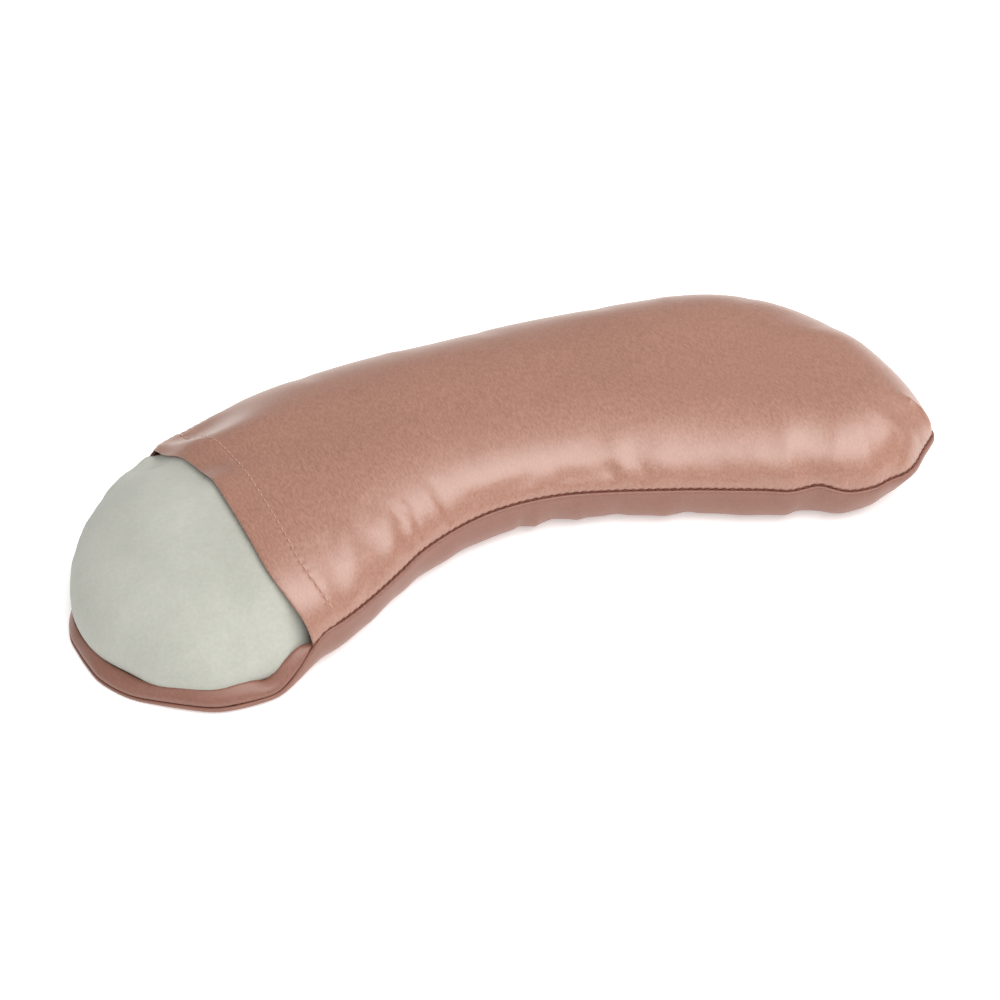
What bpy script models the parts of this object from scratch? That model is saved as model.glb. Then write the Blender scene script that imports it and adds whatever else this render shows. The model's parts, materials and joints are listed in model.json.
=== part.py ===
"""Contoured eye pillow: a satin cover, open at one end, around a seed-filled cotton insert.

Metres, +Z up. The origin is the centre of the footprint on the table. +X runs along
the length, with the cover's open end at -X and its closed end at +X. +Y points to the
long convex edge that lies over the forehead; the notch for the nose is on the -Y side.

Two things stay apart: the cover (top panel, bottom panel, tucked end flap and their
sewing threads) and the insert (two cotton panels, sewing threads and the seed fill).
The insert comes out through the open end along an arc about INSERT_AXIS, because a
bean shape only clears its own waist when it follows its own curve.
"""

import math

import bmesh
import bpy
import numpy as np
from mathutils import Vector

MM = 0.001

# ---------------------------------------------------------------- driving dimensions, mm
SEGMENTS = 56                # points round the seam, even
SEAM_Z = 14.0                # height of the side seam where the pillow is full
SEAM_Z_OPEN = 2.2            # and at the open end, where it lies almost on the table
SEAM_DROP = (-6.0, 16.0)     # how far past the opening hem the seam starts and ends its drop
COVER_TOP_Z = 31.0           # crown of the cover
CROWN_REACH = 38.0           # distance from the seam at which the crown is reached
SATIN = 0.8                  # thickness of a satin panel with its facing
SEAM_GAP = 0.4               # between the edges of the two panels
COTTON = 0.6                 # thickness of an insert panel
FLAP = 0.7                   # thickness of the end flap
AIR = 0.3                    # clearance between pieces that touch
INSERT_EASE = 3.2            # the insert's seam lies this far inside the cover's
INSERT_EASE_OPEN = 5.6       # and this far at the open end, where the flap's roll stands
INSERT_SEAM_Z = 14.0
INSERT_TOP_Z = 28.4
INSERT_BOTTOM_Z = 2.9
INSERT_CROWN_REACH = 38.0
INSERT_BELLY_REACH = 15.0
INSERT_AXIS = (0.0, -150.0)  # the insert swings out about the vertical line here
INSERT_RADII = (131.2, 205.4)  # its waist and closed-end lobe stay between these radii
COVER_THREAD = 0.3           # radius of the cover's sewing thread
INSERT_THREAD = 0.25
HEM_FRONT = (-74.0, -53.5)   # the opening hem runs straight across between these
HEM_BACK = (-90.0, 39.5)
HEM_WIDTH = 9.5              # edge to stitch line
FLAP_HEM_INSET = 30.0        # the flap ends this far inside the opening hem
FLAP_HEM_WIDTH = 7.0

# The seam line in plan, from the closed end along the convex edge to the open end,
# then back along the notched edge. It is a bean with two equal lobes.
SEAM_PLAN = [
    (135.2, -14.5), (133.0, 1.5), (128.0, 16.5), (120.0, 29.5), (109.0, 39.5),
    (96.0, 47.0), (76.0, 52.0), (56.0, 55.0), (35.0, 57.5), (4.5, 58.5),
    (-17.0, 59.5), (-38.0, 58.5), (-59.0, 56.5), (-80.0, 53.0), (-95.0, 49.5),
    (-109.0, 43.5), (-120.0, 34.5), (-128.0, 23.5), (-133.0, 10.5), (-135.2, -3.5),
    (-135.0, -17.5), (-132.5, -28.5), (-127.0, -37.5), (-118.0, -46.5), (-106.0, -54.5),
    (-94.0, -57.5), (-82.0, -55.5), (-72.0, -51.5), (-64.5, -48.5), (-54.5, -43.5),
    (-42.5, -36.5), (-27.5, -28.0), (-12.5, -23.0), (2.0, -21.5), (17.5, -23.5),
    (30.5, -27.5), (40.5, -31.5), (54.5, -38.0), (68.5, -45.5), (78.0, -50.0),
    (88.0, -54.0), (98.0, -58.0), (108.0, -59.5), (119.5, -56.5), (129.5, -47.0),
    (134.3, -31.0),
]
OPEN_END_INDEX = 19          # the point of SEAM_PLAN furthest towards -X
SPINE = [(86.0, -4.0), (44.0, 12.0), (0.0, 19.0), (-44.0, 12.0), (-86.0, -2.0)]
RINGS_NEAR = (0.0, 0.7, 2.0, 4.2, 7.5)          # ring insets next to the seam
RINGS_FAR = (0.22, 0.5, 0.8)                    # shares of the way on to the spine

for old in list(bpy.data.objects):
    bpy.data.objects.remove(old, do_unlink=True)


# ---------------------------------------------------------------- plan geometry
def closed_spline(points, per_span=24):
    """Dense points of a closed Catmull-Rom curve with centripetal spacing."""
    p = np.array(points, float)
    out = []
    n = len(p)
    for i in range(n):
        p0, p1, p2, p3 = (p[(i + k) % n] for k in (-1, 0, 1, 2))
        t = [0.0]
        for a, b in ((p0, p1), (p1, p2), (p2, p3)):
            t.append(t[-1] + math.sqrt(np.linalg.norm(b - a)))
        for k in range(per_span):
            u = t[1] + (t[2] - t[1]) * k / per_span
            a1 = (t[1] - u) / (t[1] - t[0]) * p0 + (u - t[0]) / (t[1] - t[0]) * p1
            a2 = (t[2] - u) / (t[2] - t[1]) * p1 + (u - t[1]) / (t[2] - t[1]) * p2
            a3 = (t[3] - u) / (t[3] - t[2]) * p2 + (u - t[2]) / (t[3] - t[2]) * p3
            b1 = (t[2] - u) / (t[2] - t[0]) * a1 + (u - t[0]) / (t[2] - t[0]) * a2
            b2 = (t[3] - u) / (t[3] - t[1]) * a2 + (u - t[1]) / (t[3] - t[1]) * a3
            out.append((t[2] - u) / (t[2] - t[1]) * b1 + (u - t[1]) / (t[2] - t[1]) * b2)
    return np.array(out)


def even_steps(points, count):
    """count points at equal steps along an open polyline, the last one left out."""
    gaps = np.linalg.norm(np.diff(points, axis=0), axis=1)
    along = np.concatenate([[0.0], np.cumsum(gaps)])
    at = np.linspace(0.0, along[-1], count, endpoint=False)
    return np.stack([np.interp(at, along, points[:, k]) for k in (0, 1)], axis=-1)


def smooth(x, a, b):
    t = np.clip((x - a) / (b - a), 0.0, 1.0)
    return t * t * (3.0 - 2.0 * t)


DENSE = closed_spline(SEAM_PLAN)
SPLIT = OPEN_END_INDEX * 24
BACK = even_steps(DENSE[: SPLIT + 1], SEGMENTS // 2)
FRONT = even_steps(np.vstack([DENSE[SPLIT:], DENSE[:1]]), SEGMENTS // 2)
SEAM = np.vstack([BACK, FRONT])


def inward(points):
    """Unit normals into a closed loop that runs anticlockwise."""
    along = np.roll(points, -1, axis=0) - np.roll(points, 1, axis=0)
    along /= np.linalg.norm(along, axis=1)[:, None]
    return np.stack([-along[:, 1], along[:, 0]], axis=-1)


def distance_to(loop, points):
    """Distance from each point to a closed polyline."""
    a, b = loop, np.roll(loop, -1, axis=0)
    ab = b - a
    best = np.full(len(points), 1e9)
    for k in range(len(a)):
        t = np.clip(((points - a[k]) @ ab[k]) / (ab[k] @ ab[k]), 0.0, 1.0)
        best = np.minimum(best, np.linalg.norm(points - a[k] - t[:, None] * ab[k], axis=1))
    return best


def spine_points(count):
    """Where each point of a loop of count points heads for: its two halves share a spine."""
    p = np.array(SPINE, float)
    along = np.concatenate([[0.0], np.cumsum(np.linalg.norm(np.diff(p, axis=0), axis=1))])
    half = count // 2
    share = np.arange(count) / half
    share = np.where(share > 1.0, 2.0 - share, share)
    share = smooth(share, 0.10, 0.90) * 0.25 + np.clip((share - 0.16) / 0.68, 0, 1) * 0.75
    at = share * along[-1]
    return np.stack([np.interp(at, along, p[:, k]) for k in (0, 1)], axis=-1)


def insert_seam():
    """The insert's seam line: inside the cover's, and held between INSERT_RADII.

    Towards the open end the outer radius is let go, because that lobe leaves first."""
    ease = INSERT_EASE + (INSERT_EASE_OPEN - INSERT_EASE) * smooth(-SEAM[:, 0], 60.0, 84.0)
    loop = SEAM + inward(SEAM) * ease[:, None]
    centre = np.array(INSERT_AXIS)
    arm = loop - centre
    radius = np.linalg.norm(arm, axis=1)
    angle = np.degrees(np.arctan2(arm[:, 0], arm[:, 1]))
    let_go = 12.0 * (1.0 - smooth(angle, -26.0, -6.0))
    low, high = INSERT_RADII
    held = np.clip(radius, low, high + let_go)
    return centre + arm * (held / radius)[:, None]


INSERT_SEAM = insert_seam()


def arch(q):
    """A quarter ellipse: 0 at the seam, 1 at the crown and beyond."""
    q = np.clip(q, 0.0, 1.0)
    return np.sqrt(np.maximum(0.0, 1.0 - (1.0 - q) ** 2))


hem_front, hem_back = np.array(HEM_FRONT), np.array(HEM_BACK)
hem_way = (hem_back - hem_front) / np.linalg.norm(hem_back - hem_front)
out_of_mouth = np.array([-hem_way[1], hem_way[0]])      # points to the open end


def seam_height(points):
    past_hem = (points - hem_front) @ out_of_mouth
    return SEAM_Z + (SEAM_Z_OPEN - SEAM_Z) * smooth(past_hem, *SEAM_DROP)


# ---------------------------------------------------------------- sheets and solids
def ring_plan(loop, insets, shares):
    """Rings of plan points from the loop inwards, first by inset, then towards the spine."""
    normal = inward(loop)
    rings = [loop + normal * d for d in insets]
    last = rings[-1]
    heads = spine_points(len(loop))
    return rings + [last + (heads - last) * s for s in shares]


def ring_sheet(name, rings, heights, flip):
    """A single sheet through the rings, with its middle closed across the spine."""
    mesh = bmesh.new()
    n = len(rings[0])
    rows = []
    for plan, z in zip(rings, heights):
        rows.append([mesh.verts.new((x * MM, y * MM, h * MM)) for (x, y), h in zip(plan, z)])
    for outer, inner in zip(rows, rows[1:]):
        for i in range(n):
            j = (i + 1) % n
            mesh.faces.new((outer[i], outer[j], inner[j], inner[i]))
    last = rows[-1]
    half = n // 2
    mesh.faces.new((last[0], last[1], last[n - 1]))
    for i in range(1, half - 1):
        mesh.faces.new((last[i], last[i + 1], last[n - i - 1], last[n - i]))
    mesh.faces.new((last[half - 1], last[half], last[half + 1]))
    bmesh.ops.recalc_face_normals(mesh, faces=mesh.faces[:])
    up = sum(f.normal.z * f.calc_area() for f in mesh.faces)
    if (up < 0) != flip:
        bmesh.ops.reverse_faces(mesh, faces=mesh.faces[:])
    return finish_mesh(name, mesh)


def finish_mesh(name, mesh):
    data = bpy.data.meshes.new(name)
    mesh.to_mesh(data)
    mesh.free()
    data.shade_smooth()
    data.set_sharp_from_angle(angle=math.radians(40))
    obj = bpy.data.objects.new(name, data)
    bpy.context.scene.collection.objects.link(obj)
    return obj


def cut_sheet(obj, point, normal):
    """Removes the part of a sheet on the side that normal points to."""
    mesh = bmesh.new()
    mesh.from_mesh(obj.data)
    bmesh.ops.bisect_plane(
        mesh, geom=mesh.verts[:] + mesh.edges[:] + mesh.faces[:], dist=1e-6,
        plane_co=Vector((point[0] * MM, point[1] * MM, 0.0)),
        plane_no=Vector((normal[0], normal[1], 0.0)), clear_outer=True,
    )
    mesh.to_mesh(obj.data)
    mesh.free()


def thicken(obj, thickness):
    """Turns a sheet into cloth, with the thickness on the side its faces look away from."""
    cloth = obj.modifiers.new("Solidify", "SOLIDIFY")
    cloth.thickness = thickness * MM
    cloth.offset = -1.0
    cloth.use_even_offset = True
    cloth.use_quality_normals = True
    cloth.use_rim = True


def tube(name, points, radius, closed, sides=6):
    """A thread: a round tube along a polyline in mm."""
    p = np.array(points, float)
    n = len(p)
    if closed:
        along = np.roll(p, -1, axis=0) - np.roll(p, 1, axis=0)
    else:
        along = np.gradient(p, axis=0)
    along /= np.linalg.norm(along, axis=1)[:, None]
    mesh = bmesh.new()
    rows = []
    for c, t in zip(p, along):
        side = np.cross(t, (0.0, 0.0, 1.0))
        side /= np.linalg.norm(side)
        up = np.cross(side, t)
        row = []
        for k in range(sides):
            a = 2.0 * math.pi * (k + 0.5) / sides
            q = c + radius * (math.cos(a) * side + math.sin(a) * up)
            row.append(mesh.verts.new(tuple(q * MM)))
        rows.append(row)
    for i in range(n if closed else n - 1):
        a, b = rows[i], rows[(i + 1) % n]
        for k in range(sides):
            m = (k + 1) % sides
            mesh.faces.new((a[k], a[m], b[m], b[k]))
    if not closed:
        mesh.faces.new(rows[0][::-1])
        mesh.faces.new(rows[-1])
    bmesh.ops.recalc_face_normals(mesh, faces=mesh.faces[:])
    return finish_mesh(name, mesh)


def material(name, colour, roughness, sheen=0.0, aniso=0.0):
    mat = bpy.data.materials.new(name)
    mat.use_nodes = True
    shader = mat.node_tree.nodes["Principled BSDF"]
    shader.inputs["Base Color"].default_value = (*colour, 1.0)
    shader.inputs["Roughness"].default_value = roughness
    shader.inputs["Metallic"].default_value = 0.0
    shader.inputs["Sheen Weight"].default_value = sheen
    shader.inputs["Anisotropic"].default_value = aniso
    return mat


ROSE_SATIN = material("rose_satin", (0.46, 0.25, 0.19), 0.42, 0.3, 0.4)
SAGE_COTTON = material("sage_cotton", (0.62, 0.62, 0.57), 0.85, 0.2)
ROSE_THREAD = material("rose_thread", (0.30, 0.12, 0.10), 0.55)
SAGE_THREAD = material("sage_thread", (0.52, 0.53, 0.48), 0.65)
SEEDS = material("flax_seed", (0.17, 0.08, 0.04), 0.45)


# ---------------------------------------------------------------- cover
def cover_top(points):
    zs = seam_height(points) + SEAM_GAP / 2
    return zs + (COVER_TOP_Z - zs) * arch(distance_to(DENSE, points) / CROWN_REACH)


def belly_reach(points):
    return 4.0 + 6.0 * (seam_height(points) - SEAM_Z_OPEN) / (SEAM_Z - SEAM_Z_OPEN)


def cover_bottom(points):
    zs = seam_height(points) - SEAM_GAP / 2
    return zs * (1.0 - arch(distance_to(DENSE, points) / belly_reach(points)))


def edge_exact(heights, loop, top):
    """The first ring lies on the seam itself, whatever its distance rounds to."""
    zs = seam_height(loop)
    heights[0] = zs + (SEAM_GAP / 2 if top else -SEAM_GAP / 2)
    return heights


rings = ring_plan(SEAM, RINGS_NEAR, RINGS_FAR)
top_panel = ring_sheet(
    "cover_top_panel", rings, edge_exact([cover_top(r) for r in rings], SEAM, True), False
)
cut_sheet(top_panel, hem_front, out_of_mouth)
thicken(top_panel, SATIN)
top_panel.data.materials.append(ROSE_SATIN)

bottom_insets = (0.0, 0.5, 1.6, 3.6, 6.4, 10.6)
rings = ring_plan(SEAM, bottom_insets, RINGS_FAR)
heights = edge_exact([cover_bottom(r) for r in rings], SEAM, False)
for k in range(5, len(heights)):
    heights[k] = np.zeros(SEGMENTS)                     # the face it rests on is flat
bottom_panel = ring_sheet("cover_bottom_panel", rings, heights, True)
thicken(bottom_panel, SATIN)
bottom_panel.data.materials.append(ROSE_SATIN)

# The end flap: from the end seam it rolls up and over, then lies flat under the insert.
ROLL = ((1.9, 3.4), (2.0, 5.2), (3.0, 6.4), (4.4, 6.0), (5.4, 4.0), (7.0, 2.0), (9.5, 1.8))
FLAT_INSET, FLAP_TOP_Z = 12.0, SATIN + AIR + FLAP
open_share = smooth((SEAM - hem_front) @ out_of_mouth, 8.0, 18.0)
normal = inward(SEAM)
rings, heights = [], []
for k, (inset, z) in enumerate(ROLL):
    z = max(z, FLAP_TOP_Z)
    d = open_share * inset + (1.0 - open_share) * (FLAT_INSET + 0.5 * k)
    rings.append(SEAM + normal * d[:, None])
    heights.append(open_share * z + (1.0 - open_share) * FLAP_TOP_Z)
heads = spine_points(SEGMENTS)
for share in (0.25, 0.55, 0.82):
    rings.append(rings[len(ROLL) - 1] + (heads - rings[len(ROLL) - 1]) * share)
    heights.append(np.full(SEGMENTS, FLAP_TOP_Z))
end_flap = ring_sheet("cover_end_flap", rings, heights, False)
cut_sheet(end_flap, hem_front - out_of_mouth * FLAP_HEM_INSET, -out_of_mouth)
thicken(end_flap, FLAP)
end_flap.data.materials.append(ROSE_SATIN)

# Sewing threads of the cover.
loop = SEAM - normal * (AIR + COVER_THREAD + 0.1)
seam_thread = tube(
    "cover_seam_thread", np.column_stack([loop, seam_height(SEAM)]), COVER_THREAD, True
)
seam_thread.data.materials.append(ROSE_THREAD)


def across(line_point, keep_inset, count, height):
    """Points straight across the pillow, parallel to the hem, ending short of the seam."""
    far = np.linspace(-80.0, 130.0, 841)
    pts = line_point + far[:, None] * hem_way
    a, b = DENSE, np.roll(DENSE, -1, axis=0)
    inside = np.zeros(len(pts), bool)
    for (x0, y0), (x1, y1) in zip(a, b):
        crosses = (y0 > pts[:, 1]) != (y1 > pts[:, 1])
        with np.errstate(divide="ignore", invalid="ignore"):
            at = x0 + (pts[:, 1] - y0) * (x1 - x0) / (y1 - y0)
        inside ^= crosses & (pts[:, 0] < at)
    good = pts[inside & (distance_to(DENSE, pts) > keep_inset)]
    pick = np.linspace(0, len(good) - 1, count).round().astype(int)
    pts = good[pick]
    return np.column_stack([pts, height(pts)])


def faceted_height(obj, points, lift):
    """Height of a panel's own facets under each point, plus lift."""
    graph = bpy.context.evaluated_depsgraph_get()
    bpy.context.view_layer.update()
    body = obj.evaluated_get(graph)
    found = []
    for x, y in points:
        hit, where, *_ = body.ray_cast(Vector((x * MM, y * MM, 0.2)), Vector((0, 0, -1)))
        found.append((where.z / MM if hit else 0.0) + lift)
    return np.array(found)


line = across(
    hem_front - out_of_mouth * HEM_WIDTH, 3.0, 30,
    lambda pts: faceted_height(top_panel, pts, AIR + COVER_THREAD + 0.35),
)
hem_thread = tube("opening_hem_thread", line, COVER_THREAD, False)
hem_thread.data.materials.append(ROSE_THREAD)

line = across(
    hem_front - out_of_mouth * (FLAP_HEM_INSET - FLAP_HEM_WIDTH), 15.0, 12,
    lambda pts: np.full(len(pts), FLAP_TOP_Z + AIR + 0.2),
)
flap_thread = tube("flap_hem_thread", line, 0.2, False)
flap_thread.data.materials.append(ROSE_THREAD)


# ---------------------------------------------------------------- insert
def insert_top(points, shrink=0.0):
    d = np.maximum(distance_to(INSERT_SEAM, points) - shrink, 0.0)
    return INSERT_SEAM_Z + (INSERT_TOP_Z - INSERT_SEAM_Z - shrink) * arch(d / INSERT_CROWN_REACH)


def insert_bottom(points, shrink=0.0):
    d = np.maximum(distance_to(INSERT_SEAM, points) - shrink, 0.0)
    return INSERT_SEAM_Z - (INSERT_SEAM_Z - INSERT_BOTTOM_Z - shrink) * arch(d / INSERT_BELLY_REACH)


insert_pivot = bpy.data.objects.new("insert_pivot", None)
insert_pivot.location = (INSERT_AXIS[0] * MM, INSERT_AXIS[1] * MM, 0.0)
bpy.context.scene.collection.objects.link(insert_pivot)
bpy.context.view_layer.update()


def on_pivot(obj):
    """Hangs a piece of the insert on the empty that stands on the joint's axis."""
    obj.parent = insert_pivot
    obj.matrix_parent_inverse = insert_pivot.matrix_world.inverted()
    return obj


rings = ring_plan(INSERT_SEAM, RINGS_NEAR, RINGS_FAR)
heights = [insert_top(r) for r in rings]
heights[0] = np.full(SEGMENTS, INSERT_SEAM_Z + 0.2)
insert_top_panel = on_pivot(ring_sheet("insert_top_panel", rings, heights, False))
thicken(insert_top_panel, COTTON)
insert_top_panel.data.materials.append(SAGE_COTTON)

rings = ring_plan(INSERT_SEAM, (0.0, 0.7, 2.2, 5.0, 9.0, 13.6), RINGS_FAR)
heights = [insert_bottom(r) for r in rings]
heights[0] = np.full(SEGMENTS, INSERT_SEAM_Z - 0.2)
insert_bottom_panel = on_pivot(ring_sheet("insert_bottom_panel", rings, heights, True))
thicken(insert_bottom_panel, COTTON)
insert_bottom_panel.data.materials.append(SAGE_COTTON)

loop = INSERT_SEAM - inward(INSERT_SEAM) * (AIR + INSERT_THREAD + 0.1)
insert_seam_thread = on_pivot(
    tube(
        "insert_seam_thread",
        np.column_stack([loop, np.full(SEGMENTS, INSERT_SEAM_Z)]), INSERT_THREAD, True,
    )
)
insert_seam_thread.data.materials.append(SAGE_THREAD)

# The filling gap in the convex edge is closed by hand with a running zigzag.
count = 41
half = SEGMENTS // 2
stretch = np.linspace(half * 0.36, half * 0.58, count)
index = np.arange(SEGMENTS)
outer = INSERT_SEAM - inward(INSERT_SEAM) * 0.95
closing = np.stack([np.interp(stretch, index, outer[:, k]) for k in (0, 1)], axis=-1)
lift = INSERT_SEAM_Z + 1.35 + 0.35 * np.cos(np.arange(count) * math.pi)
closing_stitch = on_pivot(
    tube("insert_closing_stitch", np.column_stack([closing, lift]), 0.22, False)
)
closing_stitch.data.materials.append(SAGE_THREAD)

# Seeds fill the bag right up to the cotton.
seed_loop = INSERT_SEAM + inward(INSERT_SEAM) * (COTTON + AIR + 0.5)
fill_rings = ring_plan(seed_loop, (0.0, 1.0, 3.0, 6.5), RINGS_FAR)
shrink = COTTON + AIR + 0.35
tops = [insert_top(r, shrink) for r in fill_rings]
bottoms = [insert_bottom(r, shrink) for r in fill_rings]
mesh = bmesh.new()
sheets = []
for zs in (tops, bottoms):
    rows = [
        [mesh.verts.new((x * MM, y * MM, h * MM)) for (x, y), h in zip(plan, z)]
        for plan, z in zip(fill_rings, zs)
    ]
    for a, b in zip(rows, rows[1:]):
        for i in range(SEGMENTS):
            j = (i + 1) % SEGMENTS
            mesh.faces.new((a[i], a[j], b[j], b[i]))
    last = rows[-1]
    mesh.faces.new((last[0], last[1], last[SEGMENTS - 1]))
    for i in range(1, half - 1):
        mesh.faces.new((last[i], last[i + 1], last[SEGMENTS - i - 1], last[SEGMENTS - i]))
    mesh.faces.new((last[half - 1], last[half], last[half + 1]))
    sheets.append(rows)
for i in range(SEGMENTS):
    j = (i + 1) % SEGMENTS
    mesh.faces.new((sheets[0][0][i], sheets[0][0][j], sheets[1][0][j], sheets[1][0][i]))
bmesh.ops.recalc_face_normals(mesh, faces=mesh.faces[:])
seed_fill = on_pivot(finish_mesh("seed_fill", mesh))
seed_fill.data.materials.append(SEEDS)
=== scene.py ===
import json
import math

import bmesh
import bpy
import numpy as np
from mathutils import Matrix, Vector, geometry, noise

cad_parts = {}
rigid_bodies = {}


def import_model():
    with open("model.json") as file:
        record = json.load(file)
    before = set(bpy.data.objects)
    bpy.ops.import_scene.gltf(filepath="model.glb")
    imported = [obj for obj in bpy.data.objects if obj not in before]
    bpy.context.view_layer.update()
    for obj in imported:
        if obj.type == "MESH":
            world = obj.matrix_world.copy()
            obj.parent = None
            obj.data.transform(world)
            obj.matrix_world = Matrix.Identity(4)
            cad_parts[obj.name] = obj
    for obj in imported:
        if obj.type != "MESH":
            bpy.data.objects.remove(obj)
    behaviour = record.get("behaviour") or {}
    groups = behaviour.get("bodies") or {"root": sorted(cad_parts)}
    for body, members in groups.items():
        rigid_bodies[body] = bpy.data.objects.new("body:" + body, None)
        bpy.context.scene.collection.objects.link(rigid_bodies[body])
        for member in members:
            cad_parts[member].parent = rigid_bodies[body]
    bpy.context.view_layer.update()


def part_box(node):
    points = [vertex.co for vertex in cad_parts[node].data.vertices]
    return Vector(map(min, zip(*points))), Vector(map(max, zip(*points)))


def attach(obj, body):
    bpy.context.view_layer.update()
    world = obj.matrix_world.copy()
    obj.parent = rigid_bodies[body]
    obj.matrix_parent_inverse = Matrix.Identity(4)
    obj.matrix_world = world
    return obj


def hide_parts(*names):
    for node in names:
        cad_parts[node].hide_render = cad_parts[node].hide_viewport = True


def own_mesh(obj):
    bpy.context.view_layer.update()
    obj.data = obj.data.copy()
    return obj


# Contoured eye pillow: satin cover with an open end, seed-filled cotton insert.
# Lengths are millimetres until a mesh is written. Pieces sit where the CAD solids are.
MM = 0.001

for old in list(bpy.data.objects):
    bpy.data.objects.remove(old, do_unlink=True)
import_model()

# ------------------------------------------------------------------ camera, light, world
scene = bpy.context.scene
scene.view_settings.view_transform = "Standard"
scene.view_settings.look = "None"


def aim(obj, target):
    way = Vector(target) - obj.location
    obj.rotation_euler = way.to_track_quat("-Z", "Y").to_euler()


cam_data = bpy.data.cameras.new("camera")
cam_data.lens = 81.19
cam_data.sensor_width = 36.0
camera = bpy.data.objects.new("camera", cam_data)
camera.location = (-0.2136, -0.4924, 0.4500)
aim(camera, (0.0045, -0.0025, 0.0))
scene.collection.objects.link(camera)
scene.camera = camera


def area_light(name, at, target, size, power, colour=(1.0, 1.0, 1.0)):
    data = bpy.data.lights.new(name, "AREA")
    data.shape = "RECTANGLE"
    data.size, data.size_y = size
    data.energy = power
    data.color = colour
    lamp = bpy.data.objects.new(name, data)
    lamp.location = at
    aim(lamp, target)
    scene.collection.objects.link(lamp)
    return lamp


area_light("softbox_overhead", (0.30, -0.46, 1.035), (0.0, 0.0, 0.0), (1.60, 0.80), 17.1)
area_light("softbox_left", (-1.1, -0.3, 0.9), (0.0, 0.0, 0.0), (0.6, 0.9), 2.2)

world = bpy.data.worlds.new("studio")
world.use_nodes = True
world.node_tree.nodes["Background"].inputs["Color"].default_value = (1.0, 1.0, 1.0, 1.0)
world.node_tree.nodes["Background"].inputs["Strength"].default_value = 0.31
scene.world = world


# ------------------------------------------------------------------ plan curves
def closed_spline(points, per_span=20):
    """Dense points of a closed Catmull-Rom curve, spaced centripetally on the plan."""
    p = np.array(points, float)
    out = []
    for i in range(len(p)):
        p0, p1, p2, p3 = (p[(i + k) % len(p)] for k in (-1, 0, 1, 2))
        t = [0.0]
        for a, b in ((p0, p1), (p1, p2), (p2, p3)):
            t.append(t[-1] + math.sqrt(np.linalg.norm((b - a)[:2])))
        for k in range(per_span):
            u = t[1] + (t[2] - t[1]) * k / per_span
            a1 = (t[1] - u) / (t[1] - t[0]) * p0 + (u - t[0]) / (t[1] - t[0]) * p1
            a2 = (t[2] - u) / (t[2] - t[1]) * p1 + (u - t[1]) / (t[2] - t[1]) * p2
            a3 = (t[3] - u) / (t[3] - t[2]) * p2 + (u - t[2]) / (t[3] - t[2]) * p3
            b1 = (t[2] - u) / (t[2] - t[0]) * a1 + (u - t[0]) / (t[2] - t[0]) * a2
            b2 = (t[3] - u) / (t[3] - t[1]) * a2 + (u - t[1]) / (t[3] - t[1]) * a3
            out.append((t[2] - u) / (t[2] - t[1]) * b1 + (u - t[1]) / (t[2] - t[1]) * b2)
    return np.array(out)


def even_closed(points, count):
    """count points at equal plan steps round a closed curve, and the length of a step."""
    ring = np.vstack([points, points[:1]])
    gaps = np.linalg.norm(np.diff(ring[:, :2], axis=0), axis=1)
    along = np.concatenate([[0.0], np.cumsum(gaps)])
    at = np.linspace(0.0, along[-1], count, endpoint=False)
    return np.stack([np.interp(at, along, ring[:, k]) for k in range(ring.shape[1])], -1), along[-1] / count


def smooth(x, a, b):
    t = np.clip((x - a) / (b - a), 0.0, 1.0)
    return t * t * (3.0 - 2.0 * t)


def inward(loop):
    """Unit plan normals into a closed loop that runs anticlockwise."""
    along = np.roll(loop, -1, axis=0) - np.roll(loop, 1, axis=0)
    along /= np.linalg.norm(along, axis=1)[:, None]
    return np.stack([-along[:, 1], along[:, 0]], -1)


def arch(q):
    q = np.clip(q, 0.0, 1.0)
    return np.sqrt(np.maximum(0.0, 1.0 - (1.0 - q) ** 2))


# The side seam: the CAD seam line, with the small waves the sewn cloth has.
SEAM_PLAN = [
    (136.4, -14.5), (134.4, 1.5), (129.4, 16.5), (121.0, 29.5), (109.6, 39.8),
    (96.0, 47.0), (76.0, 52.0), (56.0, 55.0), (35.0, 57.5), (4.5, 58.5),
    (-17.0, 59.5), (-38.0, 58.5), (-59.0, 56.5), (-77.0, 52.6), (-88.5, 47.6),
    (-97.5, 40.6), (-106.5, 32.6), (-114.5, 23.0), (-121.5, 12.5), (-130.6, 0.2),
    (-133.8, -9.5), (-133.5, -17.0), (-132.6, -24.0), (-131.2, -30.0), (-126.0, -38.8),
    (-118.6, -45.8), (-111.7, -51.2), (-104.5, -55.2), (-96.0, -56.6), (-86.5, -56.2),
    (-77.0, -52.8), (-71.5, -50.4), (-64.0, -47.8), (-54.0, -42.8),
    (-42.5, -36.0), (-34.0, -30.6), (-27.5, -27.6), (-19.0, -24.7), (-10.5, -22.8),
    (-3.0, -22.2), (6.0, -22.5), (17.5, -24.3), (30.5, -28.3), (41.5, -32.4),
    (53.0, -37.0), (64.0, -42.0), (73.0, -46.2), (79.5, -49.6), (84.0, -50.3),
    (88.0, -51.4), (92.6, -54.6), (98.5, -57.0), (104.0, -58.2), (110.0, -57.0),
    (115.5, -56.4), (120.0, -54.4), (125.8, -49.8), (130.4, -46.2), (133.2, -43.6),
    (134.6, -39.5), (136.4, -27.5),
]
SEAM_Z, SEAM_Z_OPEN = 14.0, 2.2
COVER_TOP_Z, CROWN_REACH = 31.0, 38.0
STITCH = 2.5                      # pitch of the side seam's stitches
HEM_EDGE = [(-91.0, 52.0), (-89.8, 42.0), (-88.6, 36.0), (-86.2, 28.5), (-83.8, 17.0), (-82.9, 3.0), (-82.3, -11.0),
            (-81.8, -23.0), (-80.6, -36.5), (-78.2, -44.0), (-75.4, -50.0), (-73.5, -56.0)]
HEM_WIDTH = 9.5
HEM_FRONT, HEM_BACK = np.array((-74.0, -53.5)), np.array((-90.0, 39.5))
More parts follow.
